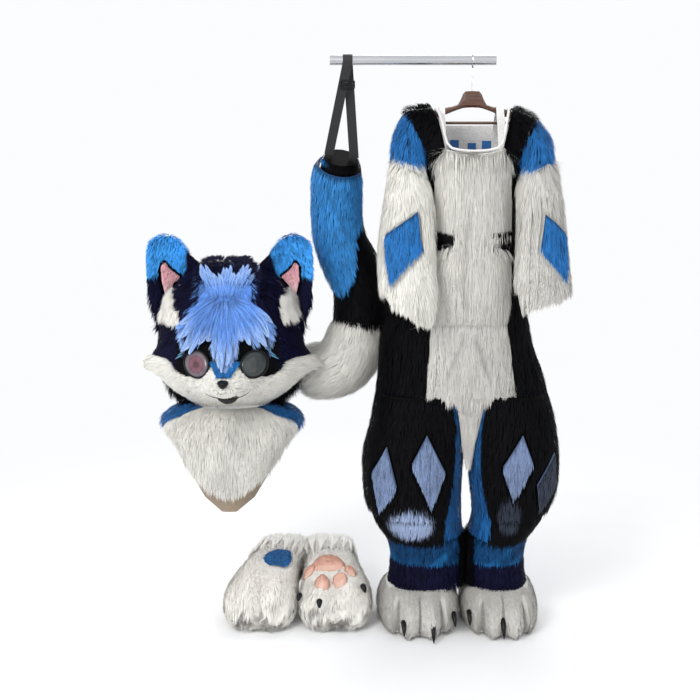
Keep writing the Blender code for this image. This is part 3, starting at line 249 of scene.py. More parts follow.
class Cloth:
    """Points and triangles of a cloth, and which of them face outwards."""

    def __init__(self, points, tris, heart=None):
        self.points, self.tris = points, tris
        a, b, c = (points[tris[:, k]] for k in range(3))
        cross = np.cross(b - a, c - a)
        self.area = np.linalg.norm(cross, axis=1) / 2
        self.normal = unit(cross)
        self.middle = (a + b + c) / 3
        self.outer = np.ones(len(tris), bool)
        self.inner = np.zeros(len(tris), bool)
        if heart:
            away = unit(self.middle - heart_of(heart, self.middle)[0])
            facing = (self.normal * away).sum(axis=1)
            self.outer, self.inner = facing > OUTSIDE, facing < INSIDE
        self.corner = np.zeros_like(points)
        seen = tris[self.outer]
        for k in range(3):
            np.add.at(self.corner, seen[:, k], (self.normal * self.area[:, None])[self.outer])
        self.corner = unit(self.corner)

    def sow(self, density, rng, bare=None, behind=0.55):
        """Random places on the smoothly rounded outside, with the surface's direction at each."""
        seen = self.outer & (self.area > 1e-9)
        if bare is not None:
            seen = seen & ~bare(self.middle, self.normal)
        share = np.where(seen, self.area, 0) * np.where(self.normal[:, 1] > BACKWARDS, behind, 1.0)
        count = max(int(share.sum() * density), 1)
        face = rng.choice(len(self.tris), size=count, p=share / share.sum())
        u, v = rng.random(count), rng.random(count)
        u, v = np.where(u + v > 1, 1 - u, u), np.where(u + v > 1, 1 - v, v)
        weight = np.stack([1 - u - v, u, v], axis=1)
        corners, ways = self.points[self.tris[face]], self.corner[self.tris[face]]
        flat = (weight[..., None] * corners).sum(axis=1)
        bulge = (flat[:, None] - corners) * ways
        bulge = bulge.sum(axis=2, keepdims=True) * ways
        place = flat - 0.75 * (weight[..., None] * bulge).sum(axis=1)
        return place, unit((weight[..., None] * ways).sum(axis=1))

    def hem(self):
        """The lowest place of the outside under each x, as a function of x."""
        points = self.points[self.tris[self.outer].ravel()]
        steps = np.linspace(points[:, 0].min(), points[:, 0].max(), HEM_CELLS + 1)
        cell = np.clip(np.searchsorted(steps, points[:, 0]) - 1, 0, HEM_CELLS - 1)
        low = np.full(HEM_CELLS, np.inf)
        np.minimum.at(low, cell, points[:, 2])
        low = np.minimum(low, np.roll(low, 1)) if np.isinf(low).any() else low
        low[np.isinf(low)] = points[:, 2].min()
        middles = (steps[1:] + steps[:-1]) / 2
        return lambda x: np.interp(x, middles, low)


def node_cloth(node, heart=None, times=0):
    """A CAD node as a cloth, in smaller triangles if asked."""
    return Cloth(*refined(*node_mesh(node), times), heart)


def joined_cloth(*nodes):
    """Several CAD nodes as one cloth in small triangles."""
    meshes = [node_mesh(name) for name in nodes]
    starts = np.cumsum([0] + [len(points) for points, _ in meshes])
    points = np.concatenate([points for points, _ in meshes])
    return Cloth(*refined(points, np.concatenate([tris + s for (_, tris), s in zip(meshes, starts)]), 2))


def solid_mesh(name, points, faces, slot, material, smooth=True):
    """A piece from points and faces that rides on the set."""
    mesh = bpy.data.meshes.new(name)
    mesh.from_pydata([tuple(p) for p in points], [], [tuple(f) for f in faces])
    mesh.update()
    mesh.materials.append(material)
    made = bpy.data.objects.new(name, mesh)
    bpy.context.scene.collection.objects.link(made)
    if smooth:
        mesh.shade_smooth()
    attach(made, "root")
    return made


def tinted(made, values):
    """What a piece's material reads at each point."""
    data = made.data.color_attributes.new(name="strand", type="FLOAT_COLOR", domain="POINT")
    data.data.foreach_set("color", np.asarray(values, np.float32).ravel())
    return made


def blade_mesh(name, points, slot, material, along, tone, takes, ways, silk):
    """A piece of very many blades of fur, of two or three triangles each, shaded much as its skin is."""
    count, corners = points.shape[:2]
    shape = [[0, 1, 3], [0, 3, 2], [2, 3, 4]] if corners == 5 else [[0, 2, 1], [1, 2, 3]]
    start = (np.arange(count) * corners)[:, None, None]
    tris = (start + np.array(shape)).reshape(-1, 3)
    mesh = bpy.data.meshes.new(name)
    mesh.vertices.add(count * corners)
    mesh.vertices.foreach_set("co", np.asarray(points, np.float32).ravel())
    mesh.loops.add(len(tris) * 3)
    mesh.loops.foreach_set("vertex_index", np.asarray(tris, np.int32).ravel())
    mesh.polygons.add(len(tris))
    mesh.polygons.foreach_set("loop_start", np.arange(0, len(tris) * 3, 3, dtype=np.int32))
    mesh.update(calc_edges=True)
    mesh.materials.append(material)
    made = bpy.data.objects.new(name, mesh)
    bpy.context.scene.collection.objects.link(made)
    mesh.shade_smooth()
    if corners == 5:
        own = unit(np.cross(points[:, 1] - points[:, 0], points[:, -1] - points[:, 0]))
    else:
        own = unit(np.cross(points[:, 2] - points[:, 1], points[:, 3] - points[:, 0]))
    shaded = unit(ways * silk + own * (1 - silk))
    mesh.normals_split_custom_set_from_vertices(np.repeat(shaded, corners, axis=0).tolist())
    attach(made, "root")
    full = np.ones((count, corners))
    return tinted(made, np.stack([along * full, tone[:, None] * full, takes * full, full], axis=-1))


def blades(root, middle, tip, across, width, slim=False):
    """The corners of each blade of fur, with how far along it each lies."""
    half = (np.asarray(width) / 2)[:, None] * across
    if slim:
        return np.stack([root, middle - half, middle + half, tip], axis=1), np.array([0.0, 0.4, 0.4, 1.0])
    corners = [root - half, root + half, middle - half * 0.9, middle + half * 0.9, tip]
    return np.stack(corners, axis=1), np.array([0.0, 0.0, 0.5, 0.5, 1.0])


# Materials


def node(tree, kind, **sockets):
    made = tree.nodes.new(kind)
    for name, value in sockets.items():
        made.inputs[name.replace("_", " ")].default_value = value
    return made


def shader_of(name):
    material = bpy.data.materials.new("made_" + name)
    material.use_nodes = True
    return material, material.node_tree, material.node_tree.nodes["Principled BSDF"]


def mixed(tree, mode, factor, first, second):
    """A colour mix whose inputs may be sockets or plain values."""
    mix = tree.nodes.new("ShaderNodeMix")
    mix.data_type = "RGBA"
    mix.blend_type = mode
    for name, value in (("Factor", factor), ("A", first), ("B", second)):
        socket = mix.inputs[name]
        if isinstance(value, bpy.types.NodeSocket):
            tree.links.new(value, socket)
        else:
            socket.default_value = value
    return mix.outputs["Result"]


def ramp(tree, factor, *stops):
    made = tree.nodes.new("ShaderNodeValToRGB")
    while len(made.color_ramp.elements) < len(stops):
        made.color_ramp.elements.new(0.5)
    for element, (place, colour) in zip(made.color_ramp.elements, stops):
        element.position = place
        element.color = (*colour[:3], 1) if isinstance(colour, tuple) else (colour, colour, colour, 1)
    tree.links.new(factor, made.inputs["Fac"])
    return made.outputs["Color"]


def grain(tree, scale, stretch=(1, 1, 1), detail=3.0):
    """Noise in the piece's own space."""
    place = tree.nodes.new("ShaderNodeTexCoord")
    mapping = node(tree, "ShaderNodeMapping", Scale=stretch)
    noise = node(tree, "ShaderNodeTexNoise", Scale=scale, Detail=detail)
    tree.links.new(place.outputs["Object"], mapping.inputs["Vector"])
    tree.links.new(mapping.outputs["Vector"], noise.inputs["Vector"])
    return noise.outputs["Fac"]


def bump(tree, shader, height, strength, distance=0.002):
    made = node(tree, "ShaderNodeBump", Strength=strength, Distance=distance)
    tree.links.new(height, made.inputs["Height"])
    tree.links.new(made.outputs["Normal"], shader.inputs["Normal"])


def reads(tree):
    """The three numbers that a piece carries at each point."""
    read = tree.nodes.new("ShaderNodeAttribute")
    read.attribute_name = "strand"
    parts = tree.nodes.new("ShaderNodeSeparateColor")
    tree.links.new(read.outputs["Color"], parts.inputs["Color"])
    return parts.outputs["Red"], parts.outputs["Green"], parts.outputs["Blue"]


def shade(colour, times):
    return tuple(c * times for c in colour[:3])


def fur_ramp(tree, along, body, root=0.55, tip=1.12):
    """The colour from root to tip, both of these a colour or so many times the body's."""
    first, last = (end if isinstance(end, tuple) else shade(body, end) for end in (root, tip))
    return ramp(tree, along, (0.0, first), (0.45, body), (1.0, last))


def fur_material(name, body, root, tip, second, sheen, uneven, gloss=0.25, fleck=0.4):
    """Fur that is uneven from lock to lock. A second colour may take over."""
    material, tree, shader = shader_of(name)
    along, tone, takes = reads(tree)
    colour = fur_ramp(tree, along, body, root, tip)
    if second:
        colour = mixed(tree, "MIX", takes, colour, fur_ramp(tree, along, second))
    lock = ramp(tree, tone, (0.0, 1 - 1.6 * uneven), (0.5, 1.0), (1.0, 1 + uneven))
    colour = mixed(tree, "MULTIPLY", 1.0, colour, lock)
    broad = ramp(tree, grain(tree, 9.0, (1, 1, 0.5)), (0.3, 1 - uneven * 0.6), (0.7, 1 + uneven * 0.4))
    colour = mixed(tree, "MULTIPLY", 1.0, colour, broad)
    fine = grain(tree, 160.0, (5, 5, 0.6))
    colour = mixed(tree, "MULTIPLY", fleck, colour, ramp(tree, fine, (0.3, 0.8), (0.7, 1.08)))
    tree.links.new(colour, shader.inputs["Base Color"])
    rough = node(tree, "ShaderNodeMapRange", To_Min=0.5, To_Max=0.75)
    tree.links.new(fine, rough.inputs["Value"])
    tree.links.new(rough.outputs["Result"], shader.inputs["Roughness"])
    shader.inputs["Sheen Weight"].default_value = sheen
    shader.inputs["Sheen Roughness"].default_value = 0.4
    shader.inputs["Specular IOR Level"].default_value = gloss
    bump(tree, shader, fine, 0.2)
    return material


def cloth_material(name, body, weave, rough):
    """Woven or knitted cloth: fine threads both ways, with a little unevenness."""
    material, tree, shader = shader_of(name)
    threads = tree.nodes.new("ShaderNodeMath")
    threads.operation = "MAXIMUM"
    tree.links.new(grain(tree, weave, (1, 1, 0.12), 1.0), threads.inputs[0])
    tree.links.new(grain(tree, weave, (0.12, 1, 1), 1.0), threads.inputs[1])
    colour = ramp(tree, threads.outputs["Value"], (0.35, shade(body, 0.72)), (0.65, shade(body, 1.08)))
    broad = ramp(tree, grain(tree, 12.0), (0.3, 0.88), (0.7, 1.04))
    tree.links.new(mixed(tree, "MULTIPLY", 1.0, colour, broad), shader.inputs["Base Color"])
    shader.inputs["Roughness"].default_value = rough
    shader.inputs["Sheen Weight"].default_value = 0.15
    bump(tree, shader, threads.outputs["Value"], 0.3, 0.0006)
    return material


def hard_material(
    name, body, rough, metallic=0.0, coat=0.0, stretch=(1, 1, 1), scale=30.0, streak=0.25, gloss=0.5
):
    """Wood, metal or plastic: grain or brush marks in the colour, the roughness and the surface."""
    material, tree, shader = shader_of(name)
    marks = grain(tree, scale, stretch, 6.0)
    colour = ramp(tree, marks, (0.3, shade(body, 1 - streak)), (0.7, shade(body, 1 + streak)))
    tree.links.new(colour, shader.inputs["Base Color"])
    spread = node(tree, "ShaderNodeMapRange", To_Min=rough * 0.8, To_Max=rough * 1.25)
    tree.links.new(marks, spread.inputs["Value"])
    tree.links.new(spread.outputs["Result"], shader.inputs["Roughness"])
    shader.inputs["Metallic"].default_value = metallic
    shader.inputs["Specular IOR Level"].default_value = gloss
    shader.inputs["Coat Weight"].default_value = coat
    shader.inputs["Coat Roughness"].default_value = 0.08
    bump(tree, shader, marks, 0.06, 0.0005)
    return material


def lens_material(name, iris, white):
    """A printed eye behind a clear dome: dark middle, streaked iris, pale rim."""
    material, tree, shader = shader_of(name)
    along, turn, _ = reads(tree)
    streak = node(tree, "ShaderNodeTexNoise", Scale=9.0, Detail=2.0)
    streak.noise_dimensions = "1D"
    tree.links.new(turn, streak.inputs["W"])
    printed = [(0.0, 0.45), (0.20, 0.50), (0.30, 0.90), (0.50, 1.10), (0.62, 0.80)]
    stops = [(place, shade(iris, times)) for place, times in printed]
    stops += [(0.72, white), (0.90, shade(white, 0.8)), (1.0, (0.01, 0.01, 0.012))]
    colour = ramp(tree, along, *stops)
    rays = ramp(tree, streak.outputs["Fac"], (0.35, 0.72), (0.65, 1.15))
    tree.links.new(mixed(tree, "MULTIPLY", 0.8, colour, rays), shader.inputs["Base Color"])
    shader.inputs["Roughness"].default_value = 0.35
    shader.inputs["Specular IOR Level"].default_value = 0.2
    shader.inputs["Coat Weight"].default_value = 0.6
    shader.inputs["Coat Roughness"].default_value = 0.05
    return material


def props():
    return bpy.context.scene.costume_fur, bpy.context.scene.costume_colours


FINISHES = {}


def finish_of(slot):
    """The material of one slot, made once."""
    if slot not in FINISHES:
        FINISHES[slot] = made_finish(slot)
    return FINISHES[slot]


def made_finish(slot):
    c = props()[1]
    white, black, navy, blue = tuple(c.white), tuple(c.black), tuple(c.navy), tuple(c.blue)
    # grey is the painted shade that the white furs take as their second colour
    grey, frost = (0.30, 0.28, 0.27), (0.36, 0.45, 0.66)
    # Painted light: a lighter copy of the white fur for the ear fluff, the paws and their cuffs
    bright = (0.95, 0.925, 0.87), (0.92, 0.89, 0.84), (0.97, 0.95, 0.91)
    # Body, root and tip, second colour, sheen, unevenness, gloss, flecks
    furs = {
        "white_fur": (white, 0.85, 1.12, grey, 0.15, 0.08, 0.2, 0.25),
        "painted_lit_white_fur": (*bright, grey, 0.25, 0.05, 0.2, 0.15),
        "cap_fur": (blue, 0.55, 1.35, white, 0.1, 0.22, 0.2),
        "mask_fur": (black, 0.4, 1.6, shade(navy, 1.3), 0.0, 0.2, 0.06),
        "moon_fur": (black, 0.4, 1.6, frost, 0.0, 0.16, 0.06),
        "black_fur": (black, 0.4, 1.6, blue, 0.0, 0.16, 0.06),
        # The ear tips take a lighter copy of the pale blue: painted light
        "navy_fur": (navy, 0.4, 1.8, shade(c.pale_blue, 1.4), 0.01, 0.3, 0.08),
        "blue_fur": (blue, 0.55, 1.35, tuple(c.pale_blue), 0.1, 0.22, 0.2),
        "teal_fur": (tuple(c.teal), 0.4, 1.5, (0.012, 0.13, 0.34), 0.05, 0.3, 0.1),
        "hair_fur": (tuple(c.hair), 0.50, 1.15, (0.52, 0.68, 0.92), 0.15, 0.34),
        "grey_blue_fur": (tuple(c.grey_blue), 0.6, frost, (0.006, 0.006, 0.008), 0.1, 0.24),
        "pink_fur": (tuple(c.pink), 0.55, 1.12, white, 0.1, 0.1),
        "pads": (tuple(c.pads), 0.92, 1.04, None, 0.3, 0.04),
    }
    # Colour, fineness of the threads, roughness
    cloths = {
        "lining": ((0.84, 0.83, 0.82), 700.0, 0.85),
        "beige_cloth": ((0.27, 0.21, 0.145), 800.0, 0.75),
        "white_tape": ((0.80, 0.79, 0.77), 900.0, 0.8),
        "black_cloth": ((0.006, 0.006, 0.007), 1400.0, 0.6),
        "lash_cloth": ((0.12, 0.38, 0.62), 1400.0, 0.6),
        "patch_cloth": ((0.02, 0.14, 0.42), 900.0, 0.7),
    }
    if slot in furs:
        return fur_material(slot, *furs[slot])
    if slot in cloths:
        return cloth_material(slot, *cloths[slot])
    if slot == "claw":
        return hard_material(slot, (0.004, 0.004, 0.005), 0.4, coat=0.1, stretch=(6, 6, 1), gloss=0.2)
    return hard_material(slot, (0.003, 0.003, 0.004), 0.4, coat=0.14, scale=260.0, gloss=0.15)


# Ways the fur is brushed


def down(p, way):
    return np.array([0, 0, -1.0]) + 0.07 * ripple(p, 0.06, 3)


def tailward(p, way):
    return heart_of("tail", p)[1] + np.array([0, 0, -0.25]) + 0.08 * ripple(p, 0.05, 4)


def toeward(p, way):
    return np.array([0, -0.75, -0.65]) + 0.1 * ripple(p, 0.03, 5)


def fingerward(p, way):
    ahead = np.clip((0.0 - p[:, 1:2]) / 0.12, 0, 1)
    return np.array([0, -1.0, 0]) + ahead * np.array([0, 0, -0.7]) + 0.22 * ripple(p, 0.035, 6)


def backward(p, way):
    return np.array([0, 0.35, -1.0]) + 0.15 * ripple(p, 0.05, 8)


def from_nose(p, way):
    out = unit(p - np.array([-0.64, -0.23, -0.80]))
    return out + np.array([0, 0, -0.35]) + 0.1 * ripple(p, 0.04, 9)


def upward(p, way):
    return np.array([0, 0.8, 0.5]) + 0.3 * ripple(p, 0.03, 7)


def fanned(lean):
    """Downwards, leaning to the side by so much at each point."""
    return np.stack([lean, 0 * lean, -1 + 0 * lean], axis=1)


def earward(p, way):
    return fanned(np.sign(p[:, 0] - HEAD_X) * 0.25) + 0.2 * ripple(p, 0.03, 10)


def evenly(share):
    """The second colour takes over by the same share everywhere."""
    return lambda p, rng: np.full(len(p), share)


# Looks of the pile: blade width, rise at root and tip in degrees, gather into locks, size of a lock,
# how much its shading follows the skin, how far blades stray, how deep they start
LONG = {"width": 0.0015, "lift": (15, 4), "clump": 0.2, "lock": (0.012, 0.012, 0.05)}
SILK = {"width": 0.0013, "lift": (12, 3), "clump": 0.06, "lock": (0.008, 0.008, 0.07)}
SILK.update(silk=0.82, stray=0.07)
SHORT = {"width": 0.0014, "lift": (24, 9), "clump": 0.12, "lock": 0.009, "silk": 0.8}
PATCH = {"width": 0.0014, "lift": (16, 5), "clump": 0.18, "lock": (0.007, 0.007, 0.03), "sink": 0.001}


def grow(
    name, cloth, slot, brush, length, density, width=0.0016, lift=(17, 4), clump=0.2, lock=0.014, sink=0.005,
    end=None, second=None, bare=None, under=(), floor=False, behind=0.55, silk=0.65, stray=0.2, clear=None,
    finish=None,
):
    """Fur that grows from the outside of a cloth, lying the way it is brushed."""
    settings = props()[0]
    seed = sum(ord(ch) * (k + 1) for k, ch in enumerate(name))
    rng = np.random.default_rng(seed)
    root, way = cloth.sow(density * settings.density, rng, bare, behind)
    count = len(root)
    middle_of, luck = locks(root, lock, seed)
    # Lengths differ from blade to blade and from lock to lock
    long = length(root) if callable(length) else np.full(count, float(length))
    long = long * rng.uniform(0.72, 1.08, count) * (0.86 + 0.24 * luck[:, 0]) * settings.pile
    lie = brush(root, way) + (luck - 0.5) * stray
    lie = unit(lie - dot(lie, way) * way)
    # Blades stop a little past a lower edge, short of a clear place, and short of what lies on top
    if end is not None:
        low = cloth.hem()(root[:, 0]) if end == "hem" else end
        room = np.maximum(root[:, 2] - low, 0) + OVERHANG
        long = np.where(lie[:, 2] < -0.3, np.minimum(long, room * rng.uniform(0.9, 1.5, count)), long)
    if clear is not None:
        for share in (0.3, 0.55, 0.8):
            over = clear(root + lie * (long * share)[:, None])
            long = np.where(over, long * share * 0.9, long)
    keep = np.ones(count, bool)
    for patch in under:
        surface = Surface(patch)
        keep &= ~surface.near(root, ROOTS_OFF)
        for share in (0.4, 0.75):
            over = surface.near(root + lie * (long * share)[:, None], BLADES_OFF)
            long = np.where(over, long * (share + 0.05) * 0.8, long)
    # Each blade rises steeply at its root and lies flatter at its tip, and leans to the middle of its lock
    root = root - way * sink * 0.8
    first = np.radians(lift[0] + rng.normal(0, lift[0] * 0.25, count))[:, None]
    last = np.radians(lift[1] + rng.normal(0, 4, count))[:, None]
    reach = long[:, None]
    middle = root + (way * np.sin(first) + lie * np.cos(first)) * reach * 0.45
    tip = middle + (way * np.sin(last) + lie * np.cos(last)) * reach * 0.55
    gather = middle_of - root
    gather = gather - dot(gather, way) * way
    gather = (gather - dot(gather, lie) * lie) * clump
    middle, tip = middle + gather * 0.4, tip + gather
    # Silky fur has its blades turned flatter to the skin
    across = unit(np.cross(lie, way))
    turn = np.radians(rng.normal(0, 30 * (1.2 - silk), count))[:, None]
    across = across * np.cos(turn) + way * np.sin(turn)
    wide = width * SLIM_WIDER * rng.uniform(0.7, 1.25, count)
    wide = wide * np.where(way[:, 1] > BACKWARDS, WIDER_BEHIND, 1.0)
    tone = np.clip(0.5 + (luck[:, 1] - 0.5) * 0.7 + rng.normal(0, 0.16, count), 0, 1)
    takes = second(middle, rng) if second is not None else np.zeros(count)
    points, along = blades(root[keep], middle[keep], tip[keep], across[keep], wide[keep], slim=True)
    if floor:
        points[..., 2] = np.maximum(points[..., 2], FLOOR_Z + 0.0004)
    shown, material = takes[keep][:, None], finish_of(finish or slot)
    return blade_mesh(name, points, slot, material, along, tone[keep], shown, way[keep], silk)


def dress(
    node_name, slot, heart, brush, length, density, cut=None, held="hung", rests=("hanger",), stuffed=None,
    rim_lined=False, sink=0.005, floor=False, cloth=None, **look,
):
    """A CAD node's cloth with its pile: an under-skin, and blades of fur that grow from it."""
    cloth = cloth or node_cloth(node_name, heart)
    points = cloth.points.copy()
    used = np.zeros(len(points), bool)
    used[cloth.tris[cloth.outer].ravel()] = True
    points[used] -= cloth.corner[used] * sink
    if floor:
        points[:, 2] = np.maximum(points[:, 2], FLOOR_Z)
    skin = solid_mesh(node_name + "_cloth", points, cloth.tris, slot, finish_of(look.get("finish") or slot))
    if stuffed is None:
        inside = cloth.inner | (cloth.normal[:, 2] > 0.7) if rim_lined else cloth.inner
        skin.data.materials.append(finish_of("lining"))
        skin.data.polygons.foreach_set("material_index", inside.astype(np.int32))
    skin.data.set_sharp_from_angle(angle=SHARP_FUR)
    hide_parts(node_name)
    pile = grow(node_name + "_pile", cloth, slot, brush, length, density, sink=sink, floor=floor, **look)
    if stuffed is not None:
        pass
    else:
        wide, long = cut
        list(rests)


def fabric(node_name, slot, cut):
    """A CAD node's plain cloth or tape, smoothed."""
    points, tris = node_mesh(node_name)
    made = solid_mesh(node_name + "_cloth", points, tris, slot, finish_of(slot))
    made.data.set_sharp_from_angle(angle=SHARP_CLOTH)
    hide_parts(node_name)
    area = round(min(Cloth(points, tris).area.sum() / 2, cut[0] * cut[1]), 4)


def lay_on(surface, path, steps=16):
    """A smooth line by three x and z places, laid on what is behind it, with the way out of it."""
    t = np.linspace(0, 1, steps)[:, None]
    a, b, c = np.array(path, float)
    flat = (1 - t) ** 2 * a + 2 * t * (1 - t) * (2 * b - (a + c) / 2) + t**2 * c
    found = [surface.ahead(x, z) for x, z in flat]
    place, out = np.array([f[0] for f in found]), np.array([f[1] for f in found])
    for _ in range(3):
        place[1:-1] = (place[:-2] + 2 * place[1:-1] + place[2:]) / 4
        out[1:-1] = (out[:-2] + 2 * out[1:-1] + out[2:]) / 4
    return place, unit(out)


def between(share, ticks, line):
    """A line's places at any shares of it."""
    return np.stack([np.interp(share, ticks, line[:, k]) for k in range(3)], 1)


def comb(name, slot, surface, guides, length, seed, width, pale, rise, raised=0.004):
    """Locks of hair. Each guide is its three places, half its width, its height and how many hairs it has."""
    rng = np.random.default_rng(seed)
    made = []
    for path, half, height, count in guides:
        place, out = lay_on(surface, path)
        step = np.gradient(place, axis=0)
        side = unit(np.cross(step, out))
        total = np.linalg.norm(np.diff(place, axis=0), axis=1).sum()
        ticks = np.linspace(0, 1, len(place))

        def at(share, u, layer):
            """The place by shares of the lock's length, of half its width and of its height."""
            share = np.minimum(share, 1.04)
            c, o, s = (between(share, ticks, line) for line in (place, out, side))
            taper = half * (0.62 + 1.0 * share) * np.clip(1.06 - share**2.0, 0, 1) ** 0.6
            lifted = raised + height * layer * np.sqrt(np.clip(1 - 0.8 * u**2, 0, 1)) * (1 - 0.55 * share)
            return c + s * (u * taper)[:, None] + o * (lifted + rise * share**2)[:, None]

        start = rng.random(count) ** 0.9 * 0.9
        u = rng.uniform(-1, 1, count)
        layer = rng.random(count)
        long = length * rng.uniform(0.7, 1.15, count) / total
        wander = ripple(np.stack([u * 3, start * 5, layer * 2], 1), 1.2, seed) * 0.0022
        root, middle = at(start, u, layer * 0.6), at(start + long / 2, u, layer)
        tip = at(start + long, u * 0.86, layer * 0.9) + wander
        lie = unit(tip - root)
        way = unit(between(start, ticks, out))
        across = unit(np.cross(lie, way))
        turn = np.radians(rng.normal(0, 22, count))[:, None]
        across = across * np.cos(turn) + way * np.sin(turn)
        points, along = blades(root, middle, tip, across, width * rng.uniform(0.7, 1.3, count))
        tone = np.clip(0.5 + 0.35 * np.sin(u * 7 + seed) * rng.random() + rng.normal(0, 0.18, count), 0, 1)
        end = np.stack([start, start, start + long / 2, start + long / 2, start + long], axis=1)
        made.append((points, tone, ease(end, *pale) * rng.uniform(0.3, 1.0, count)[:, None], way))
    points, tone, takes, ways = (np.concatenate(part) for part in zip(*made))
    return blade_mesh(name, points, slot, finish_of(slot), along, tone, takes, ways, 0.5)


def turns(count):
    """Angles all the way round, in radians."""
    return np.linspace(0, math.tau, count, endpoint=False)


def squared(wave, power):
    """A wave with fuller shoulders, for a power below 1."""
    return np.sign(wave) * np.abs(wave) ** power


def around(rings, sides):
    """Each point of each ring but the last, with the next one round it."""
    return [(i * sides + j, i * sides + (j + 1) % sides) for i in range(rings) for j in range(sides)]


def tube(path, radii, sides=10):
    """Points and faces of a closed round tube along a path, with its own radius at each place."""
    path = np.array(path, float)
    step = unit(np.gradient(path, axis=0))
    first = unit(np.cross(step, np.array([0.3, 0.2, 1.0])))
    second = np.cross(step, first)
    turn = turns(sides)[None, :, None]
    rings = path[:, None] + np.array(radii)[:, None, None] * (
        first[:, None] * np.cos(turn) + second[:, None] * np.sin(turn)
    )
    faces = [(a, b, b + sides, a + sides) for a, b in around(len(path) - 1, sides)]
    last = (len(path) - 1) * sides
    faces += [tuple(range(sides))[::-1], tuple(range(last, last + sides))]
    return rings.reshape(-1, 3), faces


def slab(front, back):
    """A thin sheet between two grids of places, as points and faces."""
    rows, columns = front.shape[:2]
    far = rows * columns
    faces = []
    for i in range(rows - 1):
        for j in range(columns - 1):
            a = i * columns + j
            b = a + columns
            faces += [(a, b, b + 1, a + 1), (far + a, far + a + 1, far + b + 1, far + b)]
    for j in range(columns - 1):
        b = far - columns + j
        faces += [(j, j + 1, far + j + 1, far + j), (b + 1, b, far + b, far + b + 1)]
    for a in range(0, far - columns, columns):
        b, c = a + columns, a + columns - 1
        faces += [(b, a, far + a, far + b), (c, c + columns, far + c + columns, far + c)]
    return np.concatenate([front.reshape(-1, 3), back.reshape(-1, 3)]), faces


def joined(parts):
    """Several sets of points and faces as one."""
    points, faces, start = [], [], 0
    for p, f in parts:
        points.append(p)
        faces += [tuple(i + start for i in face) for face in f]
        start += len(p)
    return np.concatenate(points), faces


def claws(name, pairs, radius):
    """Curved claws, each from its root to its tip, bent up and forwards in the middle."""
    parts = []
    for root, tip in pairs:
        root, tip = np.array(root), np.array(tip)
        t = np.linspace(0, 1, 9)[:, None]
        hump = np.array([0, -0.35, 0.75]) * np.linalg.norm(tip - root) * 0.42
        path = root + (tip - root) * t + hump * t * (1 - t) * 2
        parts.append(tube(path, radius * np.sqrt(np.clip(1.02 - t[:, 0] ** 1.6, 0.004, 1))))
    made = solid_mesh(name, *joined(parts), "nose", finish_of("claw"))
    made.modifiers.new("round", "SUBSURF").levels = 1


def dome(centre, outline, rise, surface_y, rings=7, sides=36):
    """A low closed dome over an outline, given by its x and z reach at each turn, on a surface's own y."""
    turn = turns(sides)
    x_reach, z_reach = outline(turn)
    points, shares = [], []
    for r in np.linspace(1, 0, rings + 1)[:-1]:
        x, z = centre[0] + x_reach * r, centre[1] + z_reach * r
        y = surface_y(x, z) - rise * np.sqrt(np.clip(1 - r**2.4, 0, 1))
        points.append(np.stack([x, y, z], axis=1))
        shares += [r] * sides
    skirt = points[0] + (0, 0.006, 0)
    points = np.concatenate([skirt, *points])
    shares = [1.0] * sides + shares
    middle = np.array([[centre[0], float(surface_y(*centre)) - rise, centre[1]]])
    points = np.concatenate([points, middle])
    shares.append(0.0)
    faces = [tuple(range(sides))] + [(a, a + sides, b + sides, b) for a, b in around(rings, sides)]
    last = rings * sides
    faces += [(last + j, len(points) - 1, last + (j + 1) % sides) for j in range(sides)]
    angles = np.concatenate([np.tile(turn, rings + 1), [0]]) / math.tau
    return points, faces, np.array(shares), angles


def pile_property(name, description, default):
    return bpy.props.FloatProperty(name=name, description=description, default=default, unit="LENGTH")


class CostumeFur(bpy.types.PropertyGroup):
    """How long and how thick the fur grows."""

    density: bpy.props.FloatProperty(
        name="Density", description="Blades of fur against the usual number", default=1.0, subtype="FACTOR"
    )
    pile: bpy.props.FloatProperty(
        name="Pile", description="Length of the fur against the usual length", default=1.0, subtype="FACTOR"
    )
    body: pile_property("Body pile", "Fur on the body", 0.044)
    leg: pile_property("Leg pile", "Fur on the legs", 0.034)
    foot: pile_property("Foot pile", "Fur on the feet", 0.014)
    face: pile_property("Face pile", "Fur on the muzzle", 0.008)


def colour_property(name, description, default):
    return bpy.props.FloatVectorProperty(
        name=name, description=description, default=default, subtype="COLOR", size=3, min=0, max=1
    )


class CostumeColours(bpy.types.PropertyGroup):
    """Colours of the fur."""

    white: colour_property("White", "Chest, sleeves, face, feet and paws", (0.80, 0.785, 0.73))
    black: colour_property("Black", "Sides, yokes, thighs and tail", (0.0035, 0.0035, 0.0045))
    navy: colour_property("Navy", "Head, ears and ankle bands", (0.004, 0.004, 0.022))
    blue: colour_property("Blue", "Caps, back and patches", (0.016, 0.145, 0.41))
    pale_blue: colour_property("Pale blue", "Tail panel and ear tips", (0.045, 0.28, 0.66))
    teal: colour_property("Calves", "Fur of the calves", (0.006, 0.052, 0.15))
    hair: colour_property("Hair", "Hair on the head", (0.125, 0.30, 0.77))
    grey_blue: colour_property("Grey blue", "Knee patches and shins", (0.19, 0.275, 0.49))
    pink: colour_property("Pink", "Inside of the ears", (0.86, 0.45, 0.50))
    pads: colour_property("Pads", "Pads of the paws", (0.93, 0.66, 0.55))


# Blue pieces on the lining of the back: from and to across, from and to in height
LINING_PATCHES = (
    (-0.050, -0.026, -0.245, -0.206),
    (-0.002, 0.020, -0.250, -0.214),
    (0.036, 0.060, -0.246, -0.208),
)


